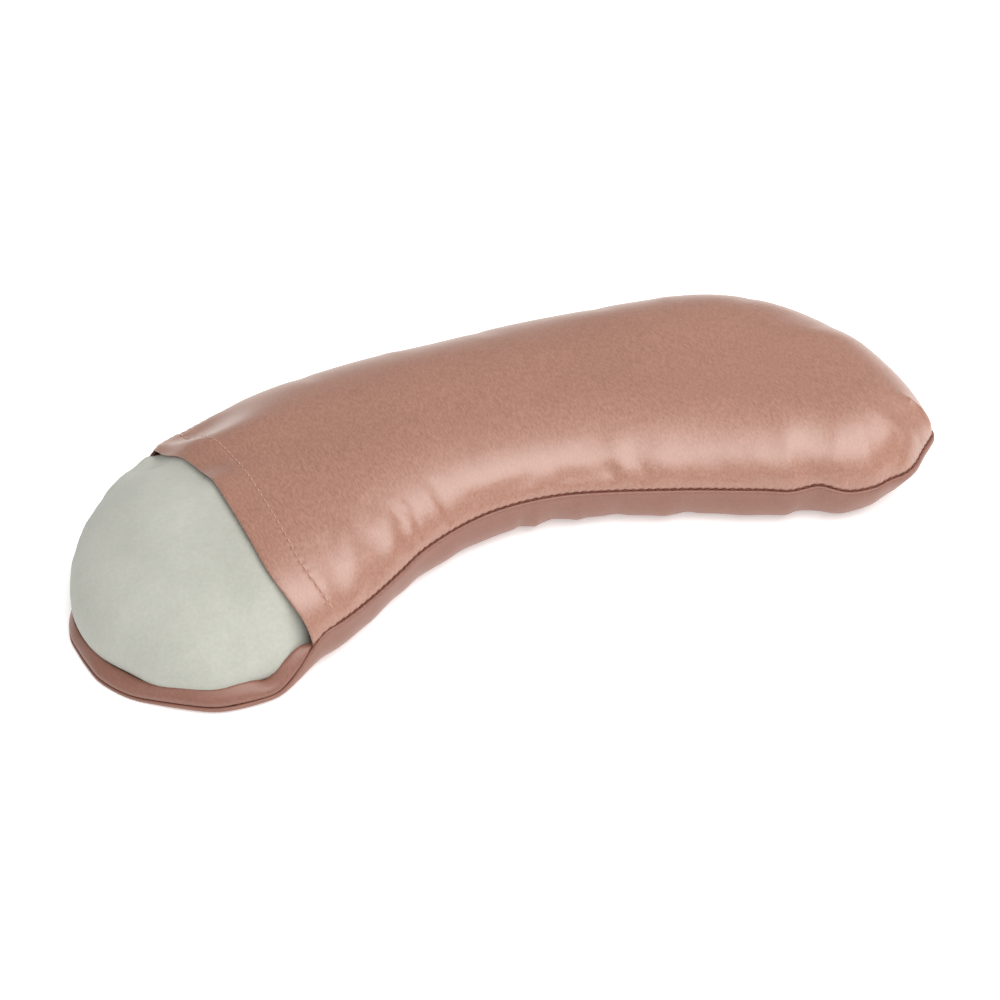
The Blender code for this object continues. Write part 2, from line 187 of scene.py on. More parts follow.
HEM_WAY = (HEM_BACK - HEM_FRONT) / np.linalg.norm(HEM_BACK - HEM_FRONT)
OUT_OF_MOUTH = np.array([-HEM_WAY[1], HEM_WAY[0]])

SEAM_COUNT = 1088
SEAM_LOOP, SEAM_STEP = even_closed(closed_spline(SEAM_PLAN), SEAM_COUNT)
SEAM_IN = inward(SEAM_LOOP)


def past_hem(points):
    return (points - HEM_FRONT) @ OUT_OF_MOUTH


def seam_height(points):
    behind = smooth(points[:, 1], 0.0, 30.0)
    z = SEAM_Z + (SEAM_Z_OPEN - SEAM_Z) * smooth(past_hem(points), -6.0 + 5.0 * behind, 16.0 - 5.0 * behind)
    front = smooth(-points[:, 1], 5.0, 18.0)
    wave = 0.9 * np.exp(-(((points[:, 0] - 89.0) / 4.0) ** 2)) - 0.8 * np.exp(-(((points[:, 0] - 97.0) / 4.5) ** 2))
    wave += 0.7 * np.exp(-(((points[:, 0] - 5.0) / 30.0) ** 2)) + 0.5 * np.exp(-(((points[:, 0] - 127.0) / 6.0) ** 2))
    low = smooth(-points[:, 0], 112.0, 126.0)          # at the far end it all but meets the table
    return z + front * wave - 1.0 * low


SEAM_Z_LINE = seam_height(SEAM_LOOP)


def nearest(loop, points):
    """Distance to a closed loop, the loop index nearest to each point, and the way inward there."""
    a = loop
    ab = np.roll(loop, -1, axis=0) - loop
    ab2 = (ab ** 2).sum(1)
    dist, index, way = np.zeros(len(points)), np.zeros(len(points)), np.zeros((len(points), 2))
    for start in range(0, len(points), 1500):
        p = points[start:start + 1500]
        rel = p[:, None] - a[None]
        t = np.clip((rel * ab[None]).sum(-1) / ab2[None], 0.0, 1.0)
        gap = rel - t[..., None] * ab[None]
        d2 = (gap ** 2).sum(-1)
        best = d2.argmin(1)
        rows = np.arange(len(p))
        dist[start:start + 1500] = np.sqrt(d2[rows, best])
        index[start:start + 1500] = best + t[rows, best]
        way[start:start + 1500] = gap[rows, best]
    return dist, index, way / np.maximum(dist, 1e-9)[:, None]


def inside(loop, points):
    odd = np.zeros(len(points), bool)
    for (x0, y0), (x1, y1) in zip(loop, np.roll(loop, -1, axis=0)):
        if y0 == y1:
            continue
        crosses = (y0 > points[:, 1]) != (y1 > points[:, 1])
        odd ^= crosses & (points[:, 0] < x0 + (points[:, 1] - y0) * (x1 - x0) / (y1 - y0))
    return odd


# ------------------------------------------------------------------ panels
def hex_points(low, high, gap):
    rows = []
    for j, y in enumerate(np.arange(low[1], high[1], gap * 0.866)):
        x = np.arange(low[0], high[0], gap) + (gap / 2 if j % 2 else 0.0)
        rows.append(np.stack([x, np.full(len(x), y)], -1))
    return np.vstack(rows)


class Panel:
    """A piece of cloth cut to a closed loop: rings near the seam, then an even fill."""

    def __init__(self, loop, insets, loose, gap, extra=None):
        n = len(loop)
        normal = inward(loop)
        rings = [loop + normal * d for d in insets]
        self.n, self.rings = n, len(insets)
        plan = np.vstack(rings)
        faces = []
        for k in range(len(insets) - 1):
            for i in range(n):
                j = (i + 1) % n
                faces.append((k * n + i, k * n + j, (k + 1) * n + j, (k + 1) * n + i))
        edge = rings[-1]
        points = []
        for d, stride in loose:
            ring = (loop + normal * d)[::stride]
            real, _, _ = nearest(loop, ring)
            points.append(ring[(real > d * 0.96) & inside(loop, ring)])
        first = (loose[-1][0] if loose else insets[-1]) + gap * 0.75
        grid = hex_points(loop.min(0), loop.max(0), gap)
        grid = grid[inside(loop, grid)]
        if extra is not None:
            zone, lines = extra
            grid = grid[~zone(grid)]
        real, _, _ = nearest(loop, grid)
        points.append(grid[real > first])
        if extra is not None:
            lines = lines[inside(loop, lines)]
            real, _, _ = nearest(loop, lines)
            points.append(lines[real > insets[-1] + 0.5])
        free = np.vstack(points)
        both = np.vstack([edge, free])
        made = geometry.delaunay_2d_cdt([Vector(p) for p in both], [], [list(range(n))], 1, 1e-6, True)
        where = {}
        base = (len(insets) - 1) * n
        new = []
        for k, source in enumerate(made[3]):
            if source and source[0] < n:
                where[k] = base + source[0]
            else:
                where[k] = len(plan) + len(new)
                new.append(tuple(made[0][k]))
        self.plan = np.vstack([plan, np.array(new)])
        fill = np.array([[where[v] for v in f] for f in made[2]])
        middle = self.plan[fill].mean(1)
        faces += [tuple(f) for f in fill[inside(edge, middle)].tolist()]
        self.faces = faces
        self.loop = loop
        self.dist, self.index, self.way = nearest(loop, self.plan)
        on_ring = np.arange(n * len(insets))
        self.dist[on_ring] = np.repeat(insets, n)
        self.index[on_ring] = np.tile(np.arange(n), len(insets)).astype(float)
        self.way[on_ring] = np.tile(normal, (len(insets), 1))

    def along(self, values):
        """Values given round the loop, read at each point of the panel."""
        ring = np.append(values, values[0])
        return np.interp(self.index, np.arange(self.n + 1), ring)


def mesh_object(name, points, faces, face_up=None):
    """A mesh object from points in mm. face_up True or False turns the whole sheet that way."""
    mesh = bmesh.new()
    verts = [mesh.verts.new(tuple(p * MM)) for p in points]
    for f in faces:
        mesh.faces.new([verts[k] for k in f])
    bmesh.ops.recalc_face_normals(mesh, faces=mesh.faces[:])
    mesh.normal_update()
    if face_up is not None:
        up = sum(f.normal.z * f.calc_area() for f in mesh.faces)
        if (up > 0) != face_up:
            bmesh.ops.reverse_faces(mesh, faces=mesh.faces[:])
    data = bpy.data.meshes.new(name)
    mesh.to_mesh(data)
    mesh.free()
    data.shade_smooth()
    obj = bpy.data.objects.new(name, data)
    scene.collection.objects.link(obj)
    return obj


def vertex_normals(points, faces, up):
    """Area-weighted normals, turned so that most point up or down."""
    tris = np.array([(f[0], f[k], f[k + 1]) for f in faces for k in range(1, len(f) - 1)])
    a, b, c = points[tris[:, 0]], points[tris[:, 1]], points[tris[:, 2]]
    n = np.cross(b - a, c - a)
    out = np.zeros_like(points)
    for k in range(3):
        np.add.at(out, tris[:, k], n)
    if (out[:, 2].sum() > 0) != up:
        out = -out
    return out / np.maximum(np.linalg.norm(out, axis=1), 1e-12)[:, None]


def wrinkle(points, size, seed, octaves=2):
    """Smooth noise over points in mm, about -1 to 1."""
    out = np.zeros(len(points))
    for k, p in enumerate(points):
        q = Vector((p[0] / size + seed, p[1] / size - seed * 0.7, seed * 1.3))
        v, amp = 0.0, 1.0
        for _ in range(octaves):
            v += amp * noise.noise(q)
            q = q * 2.1 + Vector((3.1, 1.7, 0.4))
            amp *= 0.45
        out[k] = v
    return out


def crease(plan, start, end, width, depth, taper=1.0):
    """A soft groove (depth < 0) or ridge along a plan segment, fading at both ends."""
    a, b = np.array(start, float), np.array(end, float)
    ab = b - a
    length = np.linalg.norm(ab)
    t = ((plan - a) @ ab) / length ** 2
    side = np.abs((plan - a) @ np.array([-ab[1], ab[0]])) / length
    over = np.maximum(0.0, np.maximum(-t, t - 1.0)) * length
    return depth * np.exp(-((side / width) ** 2) - (over / (width * taper)) ** 2)


# ------------------------------------------------------------------ materials
def material(name, roughness, sheen=0.0, specular=0.5, sheen_roughness=0.5, sheen_tint=(1, 1, 1)):
    mat = bpy.data.materials.new(name)
    mat.use_nodes = True
    shader = mat.node_tree.nodes["Principled BSDF"]
    shader.inputs["Roughness"].default_value = roughness
    shader.inputs["Metallic"].default_value = 0.0
    shader.inputs["Sheen Weight"].default_value = sheen
    shader.inputs["Sheen Roughness"].default_value = sheen_roughness
    shader.inputs["Sheen Tint"].default_value = (*sheen_tint, 1.0)
    shader.inputs["Specular IOR Level"].default_value = specular
    return mat, mat.node_tree, shader


def add(tree, kind, inputs=None, **settings):
    node = tree.nodes.new(kind)
    for key, value in settings.items():
        setattr(node, key, value)
    for key, value in (inputs or {}).items():
        node.inputs[key].default_value = value
    return node


def two_tone(tree, factor, dark, light):
    ramp = add(tree, "ShaderNodeValToRGB")
    ramp.color_ramp.elements[0].position = 0.30
    ramp.color_ramp.elements[1].position = 0.70
    ramp.color_ramp.elements[0].color = (*dark, 1.0)
    ramp.color_ramp.elements[1].color = (*light, 1.0)
    tree.links.new(factor, ramp.inputs["Fac"])
    return ramp.outputs["Color"]


def mix(tree, a, b, factor, kind="MIX"):
    node = add(tree, "ShaderNodeMix", data_type="RGBA", blend_type=kind)
    node.inputs["Factor"].default_value = factor
    tree.links.new(a, node.inputs["A"])
    tree.links.new(b, node.inputs["B"])
    return node.outputs["Result"]


def satin(name, dark, light, roughness=0.40, specular=0.6, coat=0.68):
    """Satin weave: long floats over fine picks, so a smooth sheen with a very fine grain."""
    mat, tree, shader = material(name, roughness, 0.02, specular, 0.35, (1.0, 0.86, 0.80))
    shader.inputs["Coat Weight"].default_value = coat
    shader.inputs["Coat Roughness"].default_value = 0.40
    shader.inputs["Coat IOR"].default_value = 1.62
    shader.inputs["Coat Tint"].default_value = (1.0, 0.95, 0.88, 1.0)
    where = add(tree, "ShaderNodeTexCoord")
    stretch = add(tree, "ShaderNodeMapping")
    stretch.inputs["Scale"].default_value = (1.0, 0.28, 0.6)
    stretch.inputs["Rotation"].default_value = (0.0, 0.0, math.radians(4.0))
    tree.links.new(where.outputs["Object"], stretch.inputs["Vector"])
    fine = add(tree, "ShaderNodeTexNoise", {"Scale": 2100.0, "Detail": 2.0, "Roughness": 0.6})
    tree.links.new(stretch.outputs["Vector"], fine.inputs["Vector"])
    broad = add(tree, "ShaderNodeTexNoise", {"Scale": 26.0, "Detail": 3.0, "Roughness": 0.55})
    tree.links.new(where.outputs["Object"], broad.inputs["Vector"])
    slub = add(tree, "ShaderNodeTexNoise", {"Scale": 420.0, "Detail": 2.0, "Roughness": 0.6})
    tree.links.new(stretch.outputs["Vector"], slub.inputs["Vector"])
    base = two_tone(tree, fine.outputs["Fac"], dark, light)
    patch = two_tone(tree, broad.outputs["Fac"], (0.975, 0.972, 0.97), (1.018, 1.02, 1.022))
    streak = two_tone(tree, slub.outputs["Fac"], (0.975, 0.97, 0.967), (1.022, 1.025, 1.028))
    colour = mix(tree, base, patch, 1.0, "MULTIPLY")
    colour = mix(tree, colour, streak, 1.0, "MULTIPLY")
    tree.links.new(colour, shader.inputs["Base Color"])
    rough = add(tree, "ShaderNodeMapRange", {"From Min": 0.3, "From Max": 0.7, "To Min": roughness - 0.07, "To Max": roughness + 0.08})
    tree.links.new(fine.outputs["Fac"], rough.inputs["Value"])
    tree.links.new(rough.outputs["Result"], shader.inputs["Roughness"])
    # floats: fine ribs along the short way of the pillow, broken up by the noise
    ribs = add(tree, "ShaderNodeTexWave", {"Scale": 620.0, "Distortion": 1.6, "Detail": 1.0, "Detail Scale": 3.0})
    ribs.bands_direction = "X"
    tree.links.new(where.outputs["Object"], ribs.inputs["Vector"])
    height = add(tree, "ShaderNodeMath", operation="MULTIPLY_ADD")
    tree.links.new(ribs.outputs["Fac"], height.inputs[0])
    height.inputs[1].default_value = 0.35
    tree.links.new(fine.outputs["Fac"], height.inputs[2])
    bump = add(tree, "ShaderNodeBump", {"Strength": 0.40, "Distance": 0.00006})
    tree.links.new(height.outputs["Value"], bump.inputs["Height"])
    tree.links.new(bump.outputs["Normal"], shader.inputs["Normal"])
    return mat


def cotton(name, dark, light, scale=1500.0, bump_strength=0.35):
    """Plain-woven cotton: crossed threads, a soft nap and faint mottling."""
    mat, tree, shader = material(name, 0.88, 0.18, 0.25, 0.6, (0.95, 0.96, 0.92))
    where = add(tree, "ShaderNodeTexCoord")
    warp = add(tree, "ShaderNodeTexWave", {"Scale": scale, "Distortion": 0.9, "Detail": 1.0, "Detail Scale": 2.0})
    warp.bands_direction = "X"
    weft = add(tree, "ShaderNodeTexWave", {"Scale": scale, "Distortion": 0.9, "Detail": 1.0, "Detail Scale": 2.0})
    weft.bands_direction = "Y"
    fuzz = add(tree, "ShaderNodeTexNoise", {"Scale": 900.0, "Detail": 3.0, "Roughness": 0.7})
    mottle = add(tree, "ShaderNodeTexNoise", {"Scale": 60.0, "Detail": 4.0, "Roughness": 0.6})
    wide = add(tree, "ShaderNodeTexNoise", {"Scale": 14.0, "Detail": 2.0, "Roughness": 0.5})
    for node in (warp, weft, fuzz, mottle, wide):
        tree.links.new(where.outputs["Object"], node.inputs["Vector"])
    base = two_tone(tree, mottle.outputs["Fac"], dark, light)
    patch = two_tone(tree, wide.outputs["Fac"], (0.96, 0.96, 0.955), (1.03, 1.03, 1.035))
    nap = two_tone(tree, fuzz.outputs["Fac"], (0.935, 0.935, 0.93), (1.04, 1.04, 1.04))
    colour = mix(tree, mix(tree, base, patch, 1.0, "MULTIPLY"), nap, 1.0, "MULTIPLY")
    tree.links.new(colour, shader.inputs["Base Color"])
    cross = add(tree, "ShaderNodeMath", operation="MULTIPLY")
    tree.links.new(warp.outputs["Fac"], cross.inputs[0])
    tree.links.new(weft.outputs["Fac"], cross.inputs[1])
    height = add(tree, "ShaderNodeMath", operation="MULTIPLY_ADD")
    tree.links.new(cross.outputs["Value"], height.inputs[0])
    height.inputs[1].default_value = 0.5
    tree.links.new(fuzz.outputs["Fac"], height.inputs[2])
    bump = add(tree, "ShaderNodeBump", {"Strength": bump_strength, "Distance": 0.00008})
    tree.links.new(height.outputs["Value"], bump.inputs["Height"])
    tree.links.new(bump.outputs["Normal"], shader.inputs["Normal"])
    rough = add(tree, "ShaderNodeMapRange", {"From Min": 0.3, "From Max": 0.7, "To Min": 0.82, "To Max": 0.94})
    tree.links.new(mottle.outputs["Fac"], rough.inputs["Value"])
    tree.links.new(rough.outputs["Result"], shader.inputs["Roughness"])
    return mat


def thread(name, dark, light, roughness=0.5):
    """Twisted sewing thread: slanting plies and a little colour change along it."""
    mat, tree, shader = material(name, roughness, 0.05, 0.35)
    where = add(tree, "ShaderNodeTexCoord")
    tone = add(tree, "ShaderNodeTexNoise", {"Scale": 700.0, "Detail": 2.0, "Roughness": 0.6})
    plies = add(tree, "ShaderNodeTexWave", {"Scale": 1900.0, "Distortion": 0.6, "Detail": 1.0})
    plies.bands_direction = "DIAGONAL"
    for node in (tone, plies):
        tree.links.new(where.outputs["Object"], node.inputs["Vector"])
    tree.links.new(two_tone(tree, tone.outputs["Fac"], dark, light), shader.inputs["Base Color"])
    rough = add(tree, "ShaderNodeMapRange", {"From Min": 0.3, "From Max": 0.7, "To Min": roughness - 0.06, "To Max": roughness + 0.08})
    tree.links.new(tone.outputs["Fac"], rough.inputs["Value"])
    tree.links.new(rough.outputs["Result"], shader.inputs["Roughness"])
    bump = add(tree, "ShaderNodeBump", {"Strength": 0.5, "Distance": 0.00006})
    tree.links.new(plies.outputs["Fac"], bump.inputs["Height"])
    tree.links.new(bump.outputs["Normal"], shader.inputs["Normal"])
    return mat


def seeds(name):
    mat, tree, shader = material(name, 0.42, 0.0, 0.5)
    where = add(tree, "ShaderNodeTexCoord")
    stretch = add(tree, "ShaderNodeMapping")
    stretch.inputs["Scale"].default_value = (1.0, 1.8, 1.0)
    cells = add(tree, "ShaderNodeTexVoronoi", {"Scale": 330.0, "Randomness": 0.9})
    tree.links.new(where.outputs["Object"], stretch.inputs["Vector"])
    tree.links.new(stretch.outputs["Vector"], cells.inputs["Vector"])
    tone = add(tree, "ShaderNodeSeparateColor")
    tree.links.new(cells.outputs["Color"], tone.inputs["Color"])
    tree.links.new(two_tone(tree, tone.outputs["Red"], (0.10, 0.045, 0.02), (0.26, 0.13, 0.06)), shader.inputs["Base Color"])
    rough = add(tree, "ShaderNodeMapRange", {"From Min": 0.0, "From Max": 1.0, "To Min": 0.34, "To Max": 0.52})
    tree.links.new(tone.outputs["Green"], rough.inputs["Value"])
    tree.links.new(rough.outputs["Result"], shader.inputs["Roughness"])
    bump = add(tree, "ShaderNodeBump", {"Strength": 0.9, "Distance": 0.0006})
    bump.invert = True
    tree.links.new(cells.outputs["Distance"], bump.inputs["Height"])
    tree.links.new(bump.outputs["Normal"], shader.inputs["Normal"])
    return mat


SATIN = satin("rose_satin", (0.316, 0.150, 0.108), (0.434, 0.222, 0.166))
# The next copy of the rose satin has a darker base colour and less coat: painted shade for the lower band and the end
# flap.
SATIN_PAINTED_SHADE = satin("rose_satin_painted_shade", (0.224, 0.095, 0.065), (0.280, 0.124, 0.087), 0.50, 0.55, 0.2)
# The seam thread's very dark colour is partly the thread's own and partly painted shade of the seam's valley.
SEAM_THREAD_AND_SHADE = thread("rose_seam_thread_and_shade", (0.105, 0.028, 0.018), (0.19, 0.06, 0.04), 0.6)
HEM_THREAD = thread("rose_hem_thread", (0.50, 0.30, 0.24), (0.66, 0.43, 0.35), 0.45)
COTTON = cotton("sage_cotton", (0.462, 0.465, 0.408), (0.521, 0.523, 0.463))
SAGE_THREAD = thread("sage_thread", (0.40, 0.41, 0.36), (0.52, 0.53, 0.47), 0.6)
SEEDS = seeds("flax_seed")


def cloth_modifiers(obj, thickness):
    """The sheet's own thickness, towards the side its faces look away from."""
    cloth = obj.modifiers.new("thickness", "SOLIDIFY")
    cloth.thickness = thickness * MM
    cloth.offset = -1.0
    cloth.use_even_offset = False
    cloth.use_rim = True
    return obj


def put(obj, body, mat, node):
    obj.data.materials.append(mat)
    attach(obj, body)
    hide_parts(node)
    return obj


# ------------------------------------------------------------------ cover, top panel
def hem_x(y):
    """Where the opening hem's edge crosses a given y."""
    p = np.array(HEM_EDGE)[::-1]
    t = np.interp(y, p[:, 1], np.arange(len(p)))
    k = np.clip(t.astype(int), 0, len(p) - 2)
    u = t - k
    tangent = np.gradient(p[:, 0], p[:, 1])
    step = p[k + 1, 1] - p[k, 1]
    h00, h10 = 2 * u**3 - 3 * u**2 + 1, u**3 - 2 * u**2 + u
    h01, h11 = -2 * u**3 + 3 * u**2, u**3 - u**2
    return h00 * p[k, 0] + h10 * step * tangent[k] + h01 * p[k + 1, 0] + h11 * step * tangent[k + 1]


def past_edge(plan):
    """Distance from the hem's edge into the cover, along X."""
    return plan[:, 0] - hem_x(plan[:, 1])


STRIP = (0.0, 0.06, 0.17, 0.36, 0.66, 1.05, 1.6)
LOOSE = ((2.3, 2), (3.2, 2), (4.4, 3), (6.0, 3), (7.9, 3))
hem_lines = []
for k, step in enumerate((-1.6, 0.0, 0.5, 1.1, 2.0, 3.4, 5.0, 6.6, 7.8, 8.6, 9.1, 9.5, 9.9, 10.4, 11.2, 12.6)):
    y = np.arange(-60.0, 62.0, 1.5) + (0.75 if k % 2 else 0.0)
    hem_lines.append(np.stack([hem_x(y) + step, y], -1))
hem_lines = np.vstack(hem_lines)


def hem_zone(points):
    e = past_edge(points)
    return (e > -3.0) & (e < 14.0)


top = Panel(SEAM_LOOP, STRIP, LOOSE, 2.1, (hem_zone, hem_lines))


def cover_top_height(panel):
    zs = panel.along(SEAM_Z_LINE)
    x, y = panel.plan[:, 0], panel.plan[:, 1]
    reach = CROWN_REACH - 9.0 * np.exp(-(((x - 96.0) / 38.0) ** 2 + ((y - 34.0) / 26.0) ** 2))
    reach -= smooth(-y, -16.0, 6.0) * (3.5 + 9.5 * smooth(x, 20.0, 100.0)) * smooth(x, -70.0, -40.0)
    slump = smooth(-x, 58.0, 84.0) * (0.10 * smooth(y, 4.0, 18.0) + 0.28 * smooth(y, 30.0, 46.0))
    slump += 0.34 * smooth(y, 26.0, 50.0) * np.exp(-(((x + 76.0) / np.where(x > -76.0, 19.0, 12.0)) ** 2))
    return zs + (COVER_TOP_Z - zs) * arch(panel.dist / reach) * (1.0 - slump)


def shape_cover_top(panel):
    plan, d = panel.plan, panel.dist
    z = cover_top_height(panel)
    pts = np.column_stack([plan, z])
    n = vertex_normals(pts, panel.faces, True)
    x, y = plan[:, 0], plan[:, 1]
    # broad, slack undulations of a seed-filled bag under thin satin
    f = (0.75 - 0.4 * smooth(x, 50.0, 80.0)) * wrinkle(plan, 46.0, 2.0) * smooth(d, 2.0, 20.0)
    f += 0.10 * wrinkle(plan, 17.0, 5.0) * smooth(d, 1.0, 10.0)
    # soft pulls running up from the front seam
    front = smooth(-y, -4.0, 14.0)
    f += 0.14 * wrinkle(np.column_stack([x * 2.4, y * 0.5]), 22.0, 8.0, 1) * front * np.exp(-((d - 7.0) / 7.0) ** 2)
    for start, end, width, depth in PUCKERS:
        f += crease(plan, start, end, width * 0.9, depth * (0.62 if width > 2.1 else 0.85))
    f *= smooth(d, 0.0, 1.2)
    # hem: doubled cloth, slightly proud, with a groove along its stitches
    e = past_edge(plan)
    hem = 1.0 - smooth(e, 9.0, 10.2)
    f += 0.28 * hem - 0.30 * np.exp(-(((e - HEM_WIDTH) / 0.55) ** 2)) * smooth(d, 0.5, 3.0)
    f += -0.25 * np.exp(-((np.maximum(e, 0.0) / 0.7) ** 2))
    f += 0.10 * np.sin(y * 2.0 * math.pi / 2.6) * np.exp(-(((e - HEM_WIDTH) / 1.3) ** 2)) * smooth(d, 0.5, 3.0)
    pts += n * f[:, None]
    # cloth swells between the stitches of the side seam
    s = panel.index * SEAM_STEP
    swell = 0.5 - 0.5 * np.cos(2.0 * math.pi * s / STITCH)
    rise = np.clip(z - panel.along(SEAM_Z_LINE), 0.0, None)
    lobe = (rise / 0.8) * np.exp(1.0 - rise / 0.8)
    pts[:, :2] -= panel.way * (0.30 * swell * lobe)[:, None]
    pts[:, 2] -= 0.2 * (rise < 0.01)
    return pts


PUCKERS = [
    ((-22.6, -17.0), (-21.0, -27.0), 1.5, -0.75), ((-26.0, -17.5), (-25.0, -25.5), 1.6, 0.45),
    ((-32.5, -22.0), (-32.3, -28.0), 1.2, -0.55), ((-37.2, -23.5), (-37.4, -31.0), 1.4, -0.55),
    ((-34.8, -21.0), (-34.8, -28.0), 1.4, 0.35), ((-41.0, -24.0), (-42.5, -32.0), 2.0, 0.45),
    ((-12.5, -21.0), (6.5, -20.0), 1.7, -0.45), ((16.5, -22.2), (30.5, -25.8), 1.9, -0.55),
    ((24.0, -18.5), (31.0, -26.5), 2.2, -0.40), ((37.6, -25.0), (40.6, -32.0), 1.9, -0.50),
    ((34.0, -20.0), (35.0, -27.0), 2.8, 0.45), ((45.0, -28.0), (48.0, -34.0), 2.6, 0.30),
    ((-56.0, -27.0), (-57.0, -37.0), 3.0, 0.75), ((-45.5, -31.0), (-53.5, -42.5), 2.8, -0.65),
    ((-62.5, -30.0), (-63.0, -46.0), 3.0, -0.55), ((-44.5, -19.0), (-50.0, -31.0), 3.2, -0.50),
    ((-50.0, -36.0), (-60.0, -45.5), 2.2, 0.40), ((-70.0, -26.0), (-69.0, -45.0), 4.0, 0.40),
    ((93.0, -53.5), (93.3, -57.0), 1.2, -0.60), ((98.0, -57.0), (99.0, -60.5), 1.2, -0.50),
    ((84.0, -46.0), (86.0, -50.5), 2.2, -0.45), ((115.4, -50.5), (113.5, -58.0), 2.0, -0.55),
    ((120.0, -44.0), (126.0, -50.0), 2.4, -0.45), ((110.0, -49.0), (108.0, -57.0), 2.2, 0.40),
    ((127.0, -38.0), (131.5, -44.0), 1.8, 0.70), ((60.0, -36.0), (64.0, -41.0), 2.6, -0.30),
    ((72.0, -40.0), (75.0, -46.0), 2.6, 0.30), ((-6.0, -10.0), (-4.0, -19.0), 3.5, 0.30),
    ((-96.0, 43.0), (-70.0, 52.0), 4.0, 0.40), ((60.0, 52.0), (62.0, 44.0), 3.0, -0.35),
    ((20.0, 56.0), (22.0, 46.0), 3.0, -0.35), ((-40.0, 56.0), (-38.0, 47.0), 3.0, -0.40),
    ((112.0, 34.0), (105.0, 28.0), 3.0, -0.35), ((128.0, 8.0), (118.0, 4.0), 3.0, -0.35),
    ((-10.0, 57.0), (-8.0, 49.0), 2.6, 0.30), ((86.0, 47.0), (82.0, 40.0), 3.0, 0.30),
]
top_points = shape_cover_top(top)


def cut_at_hem(panel, points, keep_positive, edge_of):
    """Splits a panel along the line where edge_of is zero and keeps one side of it.

    Returns the points and faces kept and the line's own points in order."""
    e = edge_of(panel.plan if len(panel.plan) == len(points) else points[:, :2])
    if not keep_positive:
        e = -e
    e = np.where(np.abs(e) < 0.02, 0.0, e)
    pts = list(points)
    faces, cuts = [], {}
    for f in panel.faces:
        side = [e[k] for k in f]
        if min(side) >= 0.0:
            if max(side) > 0.0:
                faces.append(tuple(f))
            continue
        if max(side) <= 0.0:
            continue
        ring = []
        for k in range(len(f)):
            a, b = f[k], f[(k + 1) % len(f)]
            if e[a] >= 0.0:
                ring.append(a)
            if (e[a] > 0.0 and e[b] < 0.0) or (e[a] < 0.0 and e[b] > 0.0):
                key = (min(a, b), max(a, b))
                if key not in cuts:
                    t = e[a] / (e[a] - e[b])
                    cuts[key] = len(pts)
                    pts.append(points[a] + (points[b] - points[a]) * t)
                ring.append(cuts[key])
        if len(ring) >= 3:
            faces.append(tuple(ring))
    pts = np.array(pts)
    on_line = set(cuts.values()) | {k for k in range(len(points)) if e[k] == 0.0}
    used = sorted({k for f in faces for k in f})
    renumber = {k: i for i, k in enumerate(used)}
    faces = [tuple(renumber[k] for k in f) for f in faces]
    line = [renumber[k] for k in used if k in on_line]
    pts = pts[used]
    line.sort(key=lambda k: pts[k, 1])
    return pts, faces, line


def fold_under(points, faces, line, way, profile):
    """Turns the cloth under along a line: rows follow profile as (along way, down) in mm."""
    points = list(points)
    previous = list(line)
    edge = np.array([points[k] for k in line])
    for forward, down in profile:
        row = []
        for k in range(len(line)):
            q = edge[k] + np.array([way[k][0] * forward, way[k][1] * forward, -down])
            row.append(len(points))
            points.append(q)
        for k in range(len(line) - 1):
            faces.append((previous[k], previous[k + 1], row[k + 1], row[k]))
        previous = row
    return np.array(points), faces


pts, faces, line = cut_at_hem(top, top_points, True, past_edge)
# the turned-under cloth follows the panel's own height, a little below it
HEM_FOLD = ((-0.28, 0.12), (-0.42, 0.38), (-0.34, 0.66), (-0.05, 0.86))


def height_lookup(points, plan):
    """Heights at plan positions from the nearest known points, by inverse distance."""
    out = np.zeros(len(plan))
    for start in range(0, len(plan), 400):
        q = plan[start:start + 400]
        d2 = ((q[:, None] - points[None, :, :2]) ** 2).sum(-1) + 0.02
        near = np.argpartition(d2, 6, axis=1)[:, :6]
        w = 1.0 / np.take_along_axis(d2, near, 1)
        out[start:start + 400] = (w * points[near, 2]).sum(1) / w.sum(1)
    return out


surface = pts.copy()
way = [(1.0, 0.0)] * len(line)
pts, faces = fold_under(pts, faces, line, way, HEM_FOLD)
last = list(range(len(pts) - len(line), len(pts)))
edge = surface[line]
rows, previous = [], last
points_list = list(pts)
for forward in (1.2, 3.0, 5.2, 7.2, 8.8, 9.7):
    plan = np.column_stack([edge[:, 0] + forward, edge[:, 1]])
    d, _, off = nearest(SEAM_LOOP, plan)
    d = np.where(inside(SEAM_LOOP, plan), d, -d)
    off = off * np.sign(d)[:, None]
    plan = plan + off * np.maximum(0.0, 1.4 - d)[:, None]
    z = height_lookup(surface[:, :3], plan) - 0.98
    row = []
    for k in range(len(line)):
        row.append(len(points_list))
        points_list.append(np.array([plan[k, 0], plan[k, 1], min(z[k], edge[k, 2] + 9.0)]))
    for k in range(len(line) - 1):
        faces.append((previous[k], previous[k + 1], row[k + 1], row[k]))
    previous = row
cover_top = mesh_object("cover_top", np.array(points_list), faces, None)
up = sum(p.normal.z * p.area for p in cover_top.data.polygons)
if up < 0:
    cover_top.data.flip_normals()
cloth_modifiers(cover_top, 0.42)
put(cover_top, "cover", SATIN, "cover_top_panel")

# ------------------------------------------------------------------ cover, bottom panel
LIP = ((0.35, -0.45), (0.0, -0.10), (-0.42, 0.02), (-0.80, -0.12), (-1.05, -0.52), (-1.14, -1.2), (-1.12, -1.9))
BELLY = (0.0, 0.15, 0.45, 0.95, 1.7, 2.8, 4.3, 6.3, 8.8, 11.5)


